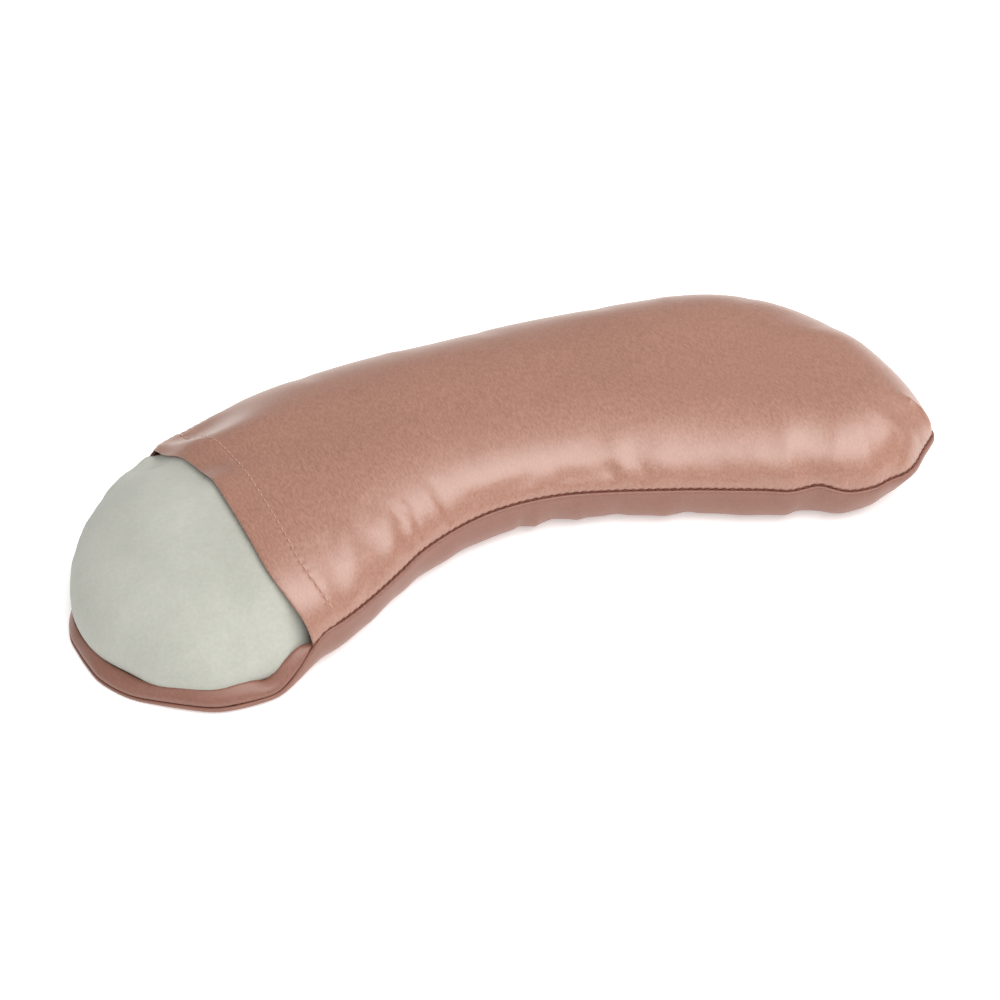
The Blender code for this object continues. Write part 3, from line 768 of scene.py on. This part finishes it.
def shape_cover_bottom():
    n = SEAM_COUNT
    lying = 1.0 - (SEAM_Z_LINE - SEAM_Z_OPEN) / (SEAM_Z - SEAM_Z_OPEN)
    lying = np.clip(lying, 0.0, 1.0)
    panel = Panel(SEAM_LOOP, (0.0, 20.0), (), 4.0)
    inner = panel.plan[2 * n:]
    fill_faces = [f for f in panel.faces if max(f) >= 2 * n or min(f) >= n]
    rows = []
    s = np.arange(n) * SEAM_STEP
    swell = 0.5 - 0.5 * np.cos(2.0 * math.pi * s / STITCH)
    x, y = SEAM_LOOP[:, 0], SEAM_LOOP[:, 1]
    folds = 0.55 * wrinkle(np.column_stack([s, s * 0.0]), 15.0, 21.0, 2)
    for at, width, depth in BAND_FOLDS:
        folds += depth * np.exp(-(((x - at) / width) ** 2)) * (y < 5.0)
    for out, dz in LIP:
        shrink = 1.0 - 0.35 * lying
        plan = SEAM_LOOP + SEAM_IN * (out * shrink * (1.0 + 0.10 * swell * (dz > -0.3)))[:, None]
        z = SEAM_Z_LINE + dz * (1.0 - 0.55 * lying)
        rows.append(np.column_stack([plan, z]))
    start_out, start_dz = LIP[-1]
    top_z = SEAM_Z_LINE + start_dz * (1.0 - 0.55 * lying)
    top_out = start_out * (1.0 - 0.35 * lying)
    tip = smooth(SEAM_LOOP[:, 0], 92.0, 122.0) * smooth(-SEAM_LOOP[:, 1], 12.0, 34.0)
    reach = 4.0 + 6.0 * (1.0 - lying) + 7.0 * tip
    flat = smooth(SEAM_LOOP[:, 0], 108.0, 128.0) * smooth(-SEAM_LOOP[:, 1], 10.0, 30.0)
    for k, share in enumerate((0.06, 0.14, 0.25, 0.38, 0.52, 0.66, 0.79, 0.90, 1.0)):
        a = share * math.pi / 2
        out = top_out + reach * (1.0 - np.cos(a)) - (0.7 * (1.0 - lying) - 1.5 * tip) * math.sin(min(1.0, share / 0.8) * math.pi)
        z = top_z * (1.0 - np.sin(a))
        out = out * (1.0 - flat) + (top_out + 17.0 * share) * flat      # the point at the closed end lifts clear
        z = z * (1.0 - flat) + top_z * (1.0 - share) ** 1.1 * flat
        bend = folds * math.sin(share * math.pi) ** 0.8 * (1.0 - 0.7 * lying)
        plan = SEAM_LOOP + SEAM_IN * (out + 1.0 * bend)[:, None]
        z = z + 0.25 * np.maximum(0.0, -bend) * (share > 0.8)
        rows.append(np.column_stack([plan, z]))
    step2 = np.column_stack([panel.plan[n:2 * n], np.zeros(n)])
    rows += [step2]
    pts = np.vstack(rows)
    faces = []
    for k in range(len(rows) - 1):
        for i in range(n):
            j = (i + 1) % n
            faces.append((k * n + i, k * n + j, (k + 1) * n + j, (k + 1) * n + i))
    base = (len(rows) - 1) * n
    offset = len(pts) - 2 * n
    for f in fill_faces:
        faces.append(tuple(base + (v - n) if v < 2 * n else v + offset for v in f))
    floor = np.column_stack([inner, np.zeros(len(inner))])
    pts = np.vstack([pts, floor])
    return pts, faces


BAND_FOLDS = [
    (3.0, 1.8, 1.0), (7.5, 1.6, -0.9), (13.5, 2.4, 0.9), (20.5, 2.2, -0.9), (32.0, 3.0, 0.8),
    (45.5, 2.6, -0.7), (52.0, 2.4, 0.8), (70.0, 5.0, -0.5), (84.0, 3.0, 0.8), (-24.0, 6.0, -0.5),
    (-44.0, 7.0, 0.9), (110.0, 5.0, 0.3), (101.0, 6.0, 0.9),
]
pts, faces = shape_cover_bottom()
pts[:, 2] = np.maximum(pts[:, 2], 0.42)
cover_bottom = mesh_object("cover_bottom", pts, faces, False)
cloth_modifiers(cover_bottom, 0.42)
# the lower band takes the darker satin copy: painted shade
put(cover_bottom, "cover", SATIN_PAINTED_SHADE, "cover_bottom_panel")

# ------------------------------------------------------------------ insert's outline
INSERT_AXIS, INSERT_RADII = np.array((0.0, -150.0)), (131.2, 205.4)
INSERT_COUNT = 640


# the end that shows: where the insert's seam runs, from the back round to the front
INSERT_END = [
    (-86.5, 46.2), (-96.8, 44.2), (-105.2, 39.2), (-111.4, 32.2), (-116.6, 26.4),
    (-120.6, 20.8), (-123.8, 14.8), (-126.4, 8.6), (-128.5, 2.2), (-130.0, -4.2),
    (-130.7, -10.0), (-130.5, -15.0), (-129.3, -22.0), (-127.5, -26.8), (-124.7, -31.4),
    (-121.8, -35.8), (-119.5, -39.8), (-117.0, -43.0), (-112.5, -46.2), (-107.9, -49.1),
    (-102.6, -51.4), (-96.7, -51.6), (-91.0, -51.3), (-85.4, -51.2), (-79.6, -49.3),
    (-75.2, -47.4), (-70.4, -44.6),
]


def insert_seam():
    """Inside the cover it keeps to the arcs it swings out along; INSERT_END shapes the rest."""
    loop = SEAM_LOOP + SEAM_IN * 3.2
    arm = loop - INSERT_AXIS
    radius = np.linalg.norm(arm, axis=1)
    angle = np.degrees(np.arctan2(arm[:, 0], arm[:, 1]))
    let_go = 12.0 * (1.0 - smooth(angle, -26.0, -6.0))
    held = np.clip(radius, INSERT_RADII[0], INSERT_RADII[1] + let_go)
    loop = INSERT_AXIS + arm * (held / radius)[:, None]
    loop = loop[::16]
    turn = int(loop[:, 0].argmin())
    back = [p for p in loop[:turn] if p[0] > -76.0]
    front = [p for p in loop[turn:] if p[0] > -66.0]
    ring = back + [np.array(p) for p in INSERT_END] + front
    loop, step = even_closed(closed_spline(ring), INSERT_COUNT)
    for _ in range(10):                      # ease the corners where the limits cut in
        loop = loop * 0.5 + (np.roll(loop, 1, 0) + np.roll(loop, -1, 0)) * 0.25
    return even_closed(loop, INSERT_COUNT)


INSERT_LOOP, INSERT_STEP = insert_seam()
INSERT_OPEN = smooth(past_hem(INSERT_LOOP), -13.0, 4.0)
INSERT_SEAM_Z = 14.0 - 10.3 * INSERT_OPEN
INSERT_IN = inward(INSERT_LOOP)

# ------------------------------------------------------------------ cover, end flap
# over the roll: inset as a share of the rim's width plus mm, height above the seam
ROLL = [(0.0, 0.05, 0.0), (0.0, -0.35, 0.5), (0.0, -0.50, 1.2), (0.0, -0.10, 2.1), (0.30, 0.0, 3.1),
        (0.66, 0.0, 3.9), (0.94, 0.0, 4.5)]
ROLL_DOWN = [(1.0, 0.10, 0.88), (1.0, 0.40, 0.62), (1.0, 0.8, 0.36), (1.0, 1.3, 0.16), (1.0, 2.6, 0.04), (1.0, 5.0, 0.0)]
INSIDE = [(1.0, 0.93), (1.1, 0.90), (1.2, 0.87), (1.35, 0.83), (1.5, 0.78), (1.8, 0.70), (2.3, 0.60),
          (3.1, 0.48), (4.1, 0.36), (5.6, 0.24), (7.4, 0.15), (9.4, 0.05), (11.5, 0.0)]
FLAP_Z, FLAP_HEM_INSET, FLAP_HEM_WIDTH = 1.8, 30.0, 7.0


def shape_flap():
    loop, normal = SEAM_LOOP[::2], SEAM_IN[::2]
    share = smooth(past_hem(loop), -5.0, 7.0)
    n = len(loop)
    s = np.arange(n) * SEAM_STEP * 2
    zs = SEAM_Z_LINE[::2]
    sag = wrinkle(np.column_stack([s, 0 * s]), 20.0, 31.0, 2)
    to_insert, _, _ = nearest(INSERT_LOOP, loop)
    width = np.clip(to_insert - 1.5, 0.9, 7.0)             # the roll lies against the insert
    rows = []
    for k in range(len(INSIDE)):
        if k < len(ROLL):
            part, inset, height = ROLL[k]
            z_open = zs + height * (1.0 + 0.22 * sag)
        else:
            part, inset, left = ROLL_DOWN[k - len(ROLL)]
            z_open = FLAP_Z + (zs + ROLL[-1][2] * (1.0 + 0.22 * sag) - FLAP_Z) * left
        hump = math.sin(min(1.0, k / 6.0) * math.pi)
        d = share * (part * width + inset + 0.30 * sag * hump) + (1.0 - share) * INSIDE[k][0]
        z_in = FLAP_Z + (zs - FLAP_Z) * INSIDE[k][1]
        rows.append(np.column_stack([loop + normal * d[:, None], share * z_open + (1.0 - share) * z_in]))
    panel = Panel(loop, (0.0, 13.0), (), 3.0)
    inner = panel.plan[2 * n:]
    fill_faces = [f for f in panel.faces if max(f) >= 2 * n or min(f) >= n]
    rows.append(np.column_stack([panel.plan[n:2 * n], np.full(n, FLAP_Z)]))
    pts = np.vstack(rows)
    for x0, y0, width, depth in FLAP_TUCKS:
        g = depth * np.exp(-(((pts[:, 0] - x0) ** 2 + (pts[:, 1] - y0) ** 2) / width ** 2))
        pts[:, 2] -= g * (pts[:, 2] > 2.2)
    faces = []
    for k in range(len(rows) - 1):
        for i in range(n):
            j = (i + 1) % n
            faces.append((k * n + i, k * n + j, (k + 1) * n + j, (k + 1) * n + i))
    base = (len(rows) - 1) * n
    offset = len(pts) - 2 * n
    for f in fill_faces:
        faces.append(tuple(base + (v - n) if v < 2 * n else v + offset for v in f))
    pts = np.vstack([pts, np.column_stack([inner, np.full(len(inner), FLAP_Z)])])
    return pts, faces


FLAP_TUCKS = [(-90.5, -52.8, 2.6, 1.5), (-99.0, -54.0, 3.0, -0.5), (-84.0, -53.5, 3.0, -0.6)]
pts, faces = shape_flap()
flap_panel = type("Flat", (), {})()
flap_panel.plan, flap_panel.faces = pts[:, :2], faces


def past_flap_hem(plan):
    return past_hem(plan) + FLAP_HEM_INSET


pts, faces, line = cut_at_hem(flap_panel, pts, True, past_flap_hem)
line = [k for k in line if pts[k, 2] < 2.6]
way = [tuple(OUT_OF_MOUTH)] * len(line)
pts, faces = fold_under(pts, faces, line, way, ((-0.16, 0.10), (-0.20, 0.26), (-0.10, 0.42), (0.8, 0.46), (6.8, 0.46)))
cover_flap = mesh_object("cover_flap", pts, faces, None)
if sum(p.normal.z * p.area for p in cover_flap.data.polygons) < 0:
    cover_flap.data.flip_normals()
cloth_modifiers(cover_flap, 0.38)
# the flap takes the darker satin copy: painted shade
put(cover_flap, "cover", SATIN_PAINTED_SHADE, "cover_end_flap")


# ------------------------------------------------------------------ stitches
def stitches(name, path, ups, pitch, length, radius, sag=0.0, sides=8, skip=None):
    """Short rounded thread lengths along a polyline in mm, each dipping into the cloth."""
    path = np.array(path, float)
    gaps = np.linalg.norm(np.diff(path, axis=0), axis=1)
    along = np.concatenate([[0.0], np.cumsum(gaps)])
    count = int(along[-1] / pitch)
    mesh = bmesh.new()

    def at(s):
        return np.array([np.interp(s, along, path[:, k]) for k in range(3)])

    for c in range(count):
        mid = (c + 0.5) * pitch
        if skip is not None and skip(at(mid)):
            continue
        up = np.array([np.interp(mid, along, ups[:, k]) for k in range(3)])
        up /= np.linalg.norm(up)
        rings = []
        for t, r in ((-1.0, 0.35), (-0.9, 0.75), (-0.55, 1.0), (0.0, 1.05), (0.55, 1.0), (0.9, 0.75), (1.0, 0.35)):
            s = mid + t * length / 2
            centre = at(s) - up * (sag + 0.30 * radius) * abs(t) ** 3
            ahead = at(s + 0.05) - at(s - 0.05)
            ahead /= max(np.linalg.norm(ahead), 1e-9)
            side = np.cross(ahead, up)
            side /= np.linalg.norm(side)
            lift = np.cross(side, ahead)
            row = []
            for k in range(sides):
                a = 2 * math.pi * k / sides
                q = centre + radius * r * (math.cos(a) * side + math.sin(a) * lift)
                row.append(mesh.verts.new(tuple(q * MM)))
            rings.append(row)
        for a, b in zip(rings, rings[1:]):
            for k in range(sides):
                m = (k + 1) % sides
                mesh.faces.new((a[k], a[m], b[m], b[k]))
        mesh.faces.new(rings[0][::-1])
        mesh.faces.new(rings[-1])
    bmesh.ops.recalc_face_normals(mesh, faces=mesh.faces[:])
    data = bpy.data.meshes.new(name)
    mesh.to_mesh(data)
    mesh.free()
    data.shade_smooth()
    obj = bpy.data.objects.new(name, data)
    scene.collection.objects.link(obj)
    return obj


# side seam stitches sit in the valley between the panels, one per swell; their dark colour is partly the thread's own
# and partly painted shade of the valley
shift = int(round(STITCH / 2 / SEAM_STEP))
rim = smooth(past_hem(SEAM_LOOP), -2.0, 8.0)
ring = SEAM_LOOP + SEAM_IN * (0.28 * rim - 0.22)[:, None]
seam_path = np.column_stack([ring, SEAM_Z_LINE + 0.16 - 0.30 * rim])
seam_up = np.column_stack([-SEAM_IN, np.full(SEAM_COUNT, 0.45)])
seam_path = np.vstack([seam_path, seam_path[:1]])
seam_up = np.vstack([seam_up, seam_up[:1]])
seam_stitches = stitches("cover_seam_stitches", seam_path, seam_up, STITCH, 1.65, 0.27)
put(seam_stitches, "cover", SEAM_THREAD_AND_SHADE, "cover_seam_thread")

# opening hem stitches follow the panel's surface at the hem width
y = np.arange(-58.0, 58.0, 0.5)
stitch_plan = np.stack([hem_x(y) + HEM_WIDTH, y], -1)
d, _, _ = nearest(SEAM_LOOP, stitch_plan)
stitch_plan = stitch_plan[inside(SEAM_LOOP, stitch_plan) & (d > 1.2)]
z = height_lookup(surface, stitch_plan)
path = np.column_stack([stitch_plan, z])
tangent = np.gradient(path, axis=0)
ups = np.cross(np.tile([-1.0, 0.0, 0.0], (len(path), 1)), tangent)
ups[ups[:, 2] < 0] *= -1
ups /= np.linalg.norm(ups, axis=1)[:, None]
path += ups * 0.16
hem_stitches = stitches("opening_hem_stitches", path, ups, 2.6, 1.75, 0.19)
put(hem_stitches, "cover", HEM_THREAD, "opening_hem_thread")

far = np.arange(-10.0, 100.0, 0.5)
flap_plan = HEM_FRONT - OUT_OF_MOUTH * (FLAP_HEM_INSET - FLAP_HEM_WIDTH) + far[:, None] * HEM_WAY
d, _, _ = nearest(SEAM_LOOP, flap_plan)
flap_plan = flap_plan[inside(SEAM_LOOP, flap_plan) & (d > 14.5)]
path = np.column_stack([flap_plan, np.full(len(flap_plan), FLAP_Z + 0.14)])
ups = np.tile([0.0, 0.0, 1.0], (len(path), 1))
flap_stitches = stitches("flap_hem_stitches", path, ups, 2.6, 1.7, 0.17)
put(flap_stitches, "cover", HEM_THREAD, "flap_hem_thread")

# ------------------------------------------------------------------ insert
INSERT_TOP_Z, INSERT_BOTTOM_Z = 28.4, 2.9
I_STRIP = (0.0, 0.1, 0.3, 0.65, 1.15, 1.8, 2.7)
I_LOOSE = ((3.8, 2), (5.2, 2), (7.0, 2))


def shape_insert_top(panel):
    plan, d = panel.plan, panel.dist
    zs = panel.along(INSERT_SEAM_Z)
    share = panel.along(INSERT_OPEN)
    x, y = plan[:, 0], plan[:, 1]
    shoulder = smooth(y, 24.0, 38.0) * smooth(-past_edge(plan), -1.0, 3.0) * (1.0 - smooth(-x, 90.5, 98.5))
    rise = arch(d / (38.0 - 6.0 * share - 12.0 * shoulder))
    slump = 0.26 * smooth(-x, 58.0, 90.0) * smooth(y, 12.0, 44.0) * (1.0 - 0.8 * smooth(-x, 84.0, 98.0))
    z = zs + (INSERT_TOP_Z - zs) * rise * (1.0 - slump)
    full = (1.0 - np.exp(-rise * (INSERT_TOP_Z - zs) / 1.8)) * (1.0 - smooth(rise, 0.38, 0.97))
    out = (2.3 * share + 0.3 + 1.0 * shoulder) * full
    pts = np.column_stack([plan - panel.way * out[:, None], z])
    n = vertex_normals(pts, panel.faces, True)
    f = 0.55 * wrinkle(plan, 38.0, 12.0) * smooth(d, 1.0, 14.0)
    f += 0.16 * wrinkle(plan, 13.0, 15.0) * smooth(d, 0.5, 6.0)
    f += 0.09 * wrinkle(plan, 5.5, 17.0, 2) * smooth(d, 0.5, 4.0)
    s = panel.index * INSERT_STEP
    pull = wrinkle(np.column_stack([s, 0 * s]), 6.5, 19.0, 2)
    f += 0.36 * pull * np.exp(-((d - 1.8) / 2.2) ** 2)
    for start, end, width, depth in INSERT_PUCKERS:
        f += crease(plan, start, end, width, depth)
    f *= smooth(d, 0.0, 0.8)
    pts += n * f[:, None]
    # the cover lies on it: just under the satin inside, right up to the hem's fold at the opening
    over = height_lookup(top_points, pts[:, :2]) - 1.75
    e = past_edge(pts[:, :2])
    snug = np.exp(-(np.minimum(e, 0.0) / 9.0) ** 2) * (1.0 - smooth(e, 3.0, 14.0)) * smooth(d, 1.5, 9.0)
    z = pts[:, 2] + snug * (over - pts[:, 2])
    lid = over + np.maximum(0.0, -e - 1.2) * (1.5 + 2.4 * smooth(y, 20.0, 36.0))
    pts[:, 2] = np.where(d > 0.9, np.maximum(np.minimum(z, lid), zs + 0.3 * np.minimum(d, 2.0)), pts[:, 2])
    return pts


INSERT_PUCKERS = [
    ((-85.5, -24.0), (-80.5, -29.0), 1.5, -2.0), ((-92.0, -48.0), (-80.0, -44.0), 2.0, -0.35),
    ((-112.0, -42.0), (-104.0, -47.0), 2.2, 0.25), ((-124.0, -22.0), (-118.0, -30.0), 2.6, -0.22),
    ((-100.0, 10.0), (-92.0, 24.0), 4.0, -0.25), ((-116.0, 4.0), (-108.0, 16.0), 3.6, 0.22),
    ((-96.0, -20.0), (-88.0, -8.0), 4.2, 0.22), ((-112.0, -18.0), (-106.0, -8.0), 3.8, -0.2),
]
panel = Panel(INSERT_LOOP, I_STRIP, I_LOOSE, 2.3)
pts = shape_insert_top(panel)
insert_surface = pts
insert_top = mesh_object("insert_top", pts, panel.faces, True)
cloth_modifiers(insert_top, 0.35)
put(insert_top, "insert", COTTON, "insert_top_panel")


def shape_insert_bottom():
    """Seam lip first, then the belly down to the flat underside."""
    n = INSERT_COUNT
    zs = INSERT_SEAM_Z
    rows = []
    s = np.arange(n) * INSERT_STEP
    swell = 0.5 - 0.5 * np.cos(2.0 * math.pi * s / 2.8)
    for out, dz in ((0.3, -0.35), (-0.1, -0.05), (-0.5, 0.0), (-0.85, -0.25), (-0.8, -0.75), (-0.4, -1.1), (0.0, -1.4)):
        rows.append(np.column_stack([INSERT_LOOP + INSERT_IN * ((out - 0.08 * swell) * (1.0 - 0.7 * INSERT_OPEN))[:, None], zs + dz * (1.0 - 0.62 * INSERT_OPEN)]))
    low = INSERT_BOTTOM_Z
    point = smooth(INSERT_LOOP[:, 0], 98.0, 120.0) * smooth(-INSERT_LOOP[:, 1], 6.0, 26.0)
    fold = wrinkle(np.column_stack([s, 0 * s]), 11.0, 41.0, 2)
    for share in (0.08, 0.18, 0.30, 0.44, 0.58, 0.72, 0.86, 1.0):
        a = share * math.pi / 2
        reach = 13.0 - 5.0 * INSERT_OPEN
        out = (reach * (1.0 - np.cos(a))) * (1.0 - point) + 13.5 * share * point + 0.35 * fold * math.sin(share * math.pi)
        z = low + (zs - 1.4 * (1.0 - 0.62 * INSERT_OPEN) - low) * ((1.0 - math.sin(a)) * (1.0 - point) + (1.0 - share) * point)
        rows.append(np.column_stack([INSERT_LOOP + INSERT_IN * out[:, None], z]))
    rows.append(np.column_stack([INSERT_LOOP + INSERT_IN * 14.5, np.full(n, low)]))
    panel = Panel(INSERT_LOOP, (0.0, 14.5), (), 3.6)
    inner = panel.plan[2 * n:]
    pts = np.vstack(rows)
    faces = []
    for k in range(len(rows) - 1):
        for i in range(n):
            j = (i + 1) % n
            faces.append((k * n + i, k * n + j, (k + 1) * n + j, (k + 1) * n + i))
    base, offset = (len(rows) - 1) * n, len(pts) - 2 * n
    for f in panel.faces:
        if max(f) >= 2 * n or min(f) >= n:
            faces.append(tuple(base + (v - n) if v < 2 * n else v + offset for v in f))
    return np.vstack([pts, np.column_stack([inner, np.full(len(inner), low)])]), faces


pts, faces = shape_insert_bottom()
insert_belly = pts[9 * INSERT_COUNT:]
insert_bottom = mesh_object("insert_bottom", pts, faces, False)
cloth_modifiers(insert_bottom, 0.35)
put(insert_bottom, "insert", COTTON, "insert_bottom_panel")

ring = INSERT_LOOP - INSERT_IN * 0.1
path = np.column_stack([ring, INSERT_SEAM_Z + 0.16])
ups = np.column_stack([-INSERT_IN, np.full(INSERT_COUNT, 0.6)])
path, ups = np.vstack([path, path[:1]]), np.vstack([ups, ups[:1]])
insert_stitches = stitches("insert_seam_stitches", path, ups, 2.8, 1.6, 0.15)
put(insert_stitches, "insert", SAGE_THREAD, "insert_seam_thread")

# the filling gap in the convex edge, closed by hand with slanting stitches
lo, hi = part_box("insert_closing_stitch")
on = [k for k in range(INSERT_COUNT)
      if lo.x / MM + 1 < INSERT_LOOP[k, 0] < hi.x / MM - 1 and INSERT_LOOP[k, 1] > 20.0]
places = np.array([[*(INSERT_LOOP[k] - INSERT_IN[k] * 0.35), INSERT_SEAM_Z[k]] for k in on])
outs = np.array([[*(-INSERT_IN[k]), 0.3] for k in on])
gaps = np.concatenate([[0.0], np.cumsum(np.linalg.norm(np.diff(places, axis=0), axis=1))])
path, ups = [], []
marks = np.arange(0.0, gaps[-1], 0.45)
for m in marks:
    p = np.array([np.interp(m, gaps, places[:, k]) for k in range(3)])
    u = np.array([np.interp(m, gaps, outs[:, k]) for k in range(3)])
    u /= np.linalg.norm(u)
    turn = 2 * math.pi * m / 3.4
    path.append(p + u * (0.55 + 0.28 * math.cos(2 * turn)) + np.array([0, 0, 0.85 * math.sin(turn)]))
    ups.append(u)
path, ups = np.array(path), np.array(ups)
mesh = bmesh.new()
rows = []
tangent = np.gradient(path, axis=0)
for p, t, u in zip(path, tangent, ups):
    t = t / np.linalg.norm(t)
    side = np.cross(t, u)
    side /= np.linalg.norm(side)
    lift = np.cross(side, t)
    rows.append([mesh.verts.new(tuple((p + 0.2 * (math.cos(a) * side + math.sin(a) * lift)) * MM))
                 for a in np.arange(8) * math.pi / 4])
for a, b in zip(rows, rows[1:]):
    for k in range(8):
        mesh.faces.new((a[k], a[(k + 1) % 8], b[(k + 1) % 8], b[k]))
mesh.faces.new(rows[0][::-1])
mesh.faces.new(rows[-1])
bmesh.ops.recalc_face_normals(mesh, faces=mesh.faces[:])
data = bpy.data.meshes.new("insert_closing_stitches")
mesh.to_mesh(data)
mesh.free()
data.shade_smooth()
closing = bpy.data.objects.new("insert_closing_stitches", data)
scene.collection.objects.link(closing)
put(closing, "insert", SAGE_THREAD, "insert_closing_stitch")

# seed mass, just inside the cotton
loop, step = even_closed(INSERT_LOOP, 320)
loop = loop + inward(loop) * 1.9
loop, step = even_closed(loop, 320)
zs = np.interp(np.arange(320) * 2.0, np.arange(INSERT_COUNT + 1), np.append(INSERT_SEAM_Z, INSERT_SEAM_Z[0]))
panel = Panel(loop, (0.0, 0.4, 1.2, 2.6, 5.0), (), 3.2)
zline = panel.along(zs)
bumps = 0.35 * wrinkle(panel.plan, 9.0, 51.0)
upper = zline + (INSERT_TOP_Z - 1.4 - zline) * arch(panel.dist / 36.0) + bumps * smooth(panel.dist, 0.0, 4.0)
ceiling = height_lookup(insert_surface, panel.plan) - 1.5
upper = np.where(panel.dist > 0.2, np.maximum(np.minimum(upper, ceiling), zline + 0.05), upper)
lower = zline - np.maximum(0.0, zline - INSERT_BOTTOM_Z - 0.7) * arch(panel.dist / 11.0)
floor_z = height_lookup(insert_belly, panel.plan) + 0.75
lower = np.minimum(np.maximum(lower, np.minimum(floor_z, zline)), zline)
n = len(loop)
count = len(panel.plan)
pts = np.vstack([np.column_stack([panel.plan, upper]), np.column_stack([panel.plan, lower])])
remap = {count + i: i for i in range(n)}
faces = list(panel.faces) + [tuple(remap.get(v + count, v + count) for v in reversed(f)) for f in panel.faces]
used = sorted({v for f in faces for v in f})
number = {v: i for i, v in enumerate(used)}
seed_mass = mesh_object("seed_mass", pts[used], [tuple(number[v] for v in f) for f in faces], None)
put(seed_mass, "insert", SEEDS, "seed_fill")

# ------------------------------------------------------------------ floor
floor_mesh = bmesh.new()
bmesh.ops.create_grid(floor_mesh, x_segments=1, y_segments=1, size=8.0)
data = bpy.data.meshes.new("floor")
floor_mesh.to_mesh(data)
floor_mesh.free()
floor = bpy.data.objects.new("floor", data)
floor.location.z = -0.0001
scene.collection.objects.link(floor)
paper, tree, shader = material("floor_paper", 0.9, 0.0, 0.1)
grain = add(tree, "ShaderNodeTexNoise", {"Scale": 40.0, "Detail": 3.0})
where = add(tree, "ShaderNodeTexCoord")
tree.links.new(where.outputs["Object"], grain.inputs["Vector"])
tree.links.new(two_tone(tree, grain.outputs["Fac"], (0.93, 0.93, 0.93), (0.95, 0.95, 0.95)), shader.inputs["Base Color"])
floor.data.materials.append(paper)
shader.inputs["Emission Color"].default_value = (1.0, 1.0, 1.0, 1.0)
shader.inputs["Emission Strength"].default_value = 0.42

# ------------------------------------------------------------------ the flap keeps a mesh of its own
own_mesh(cover_flap)
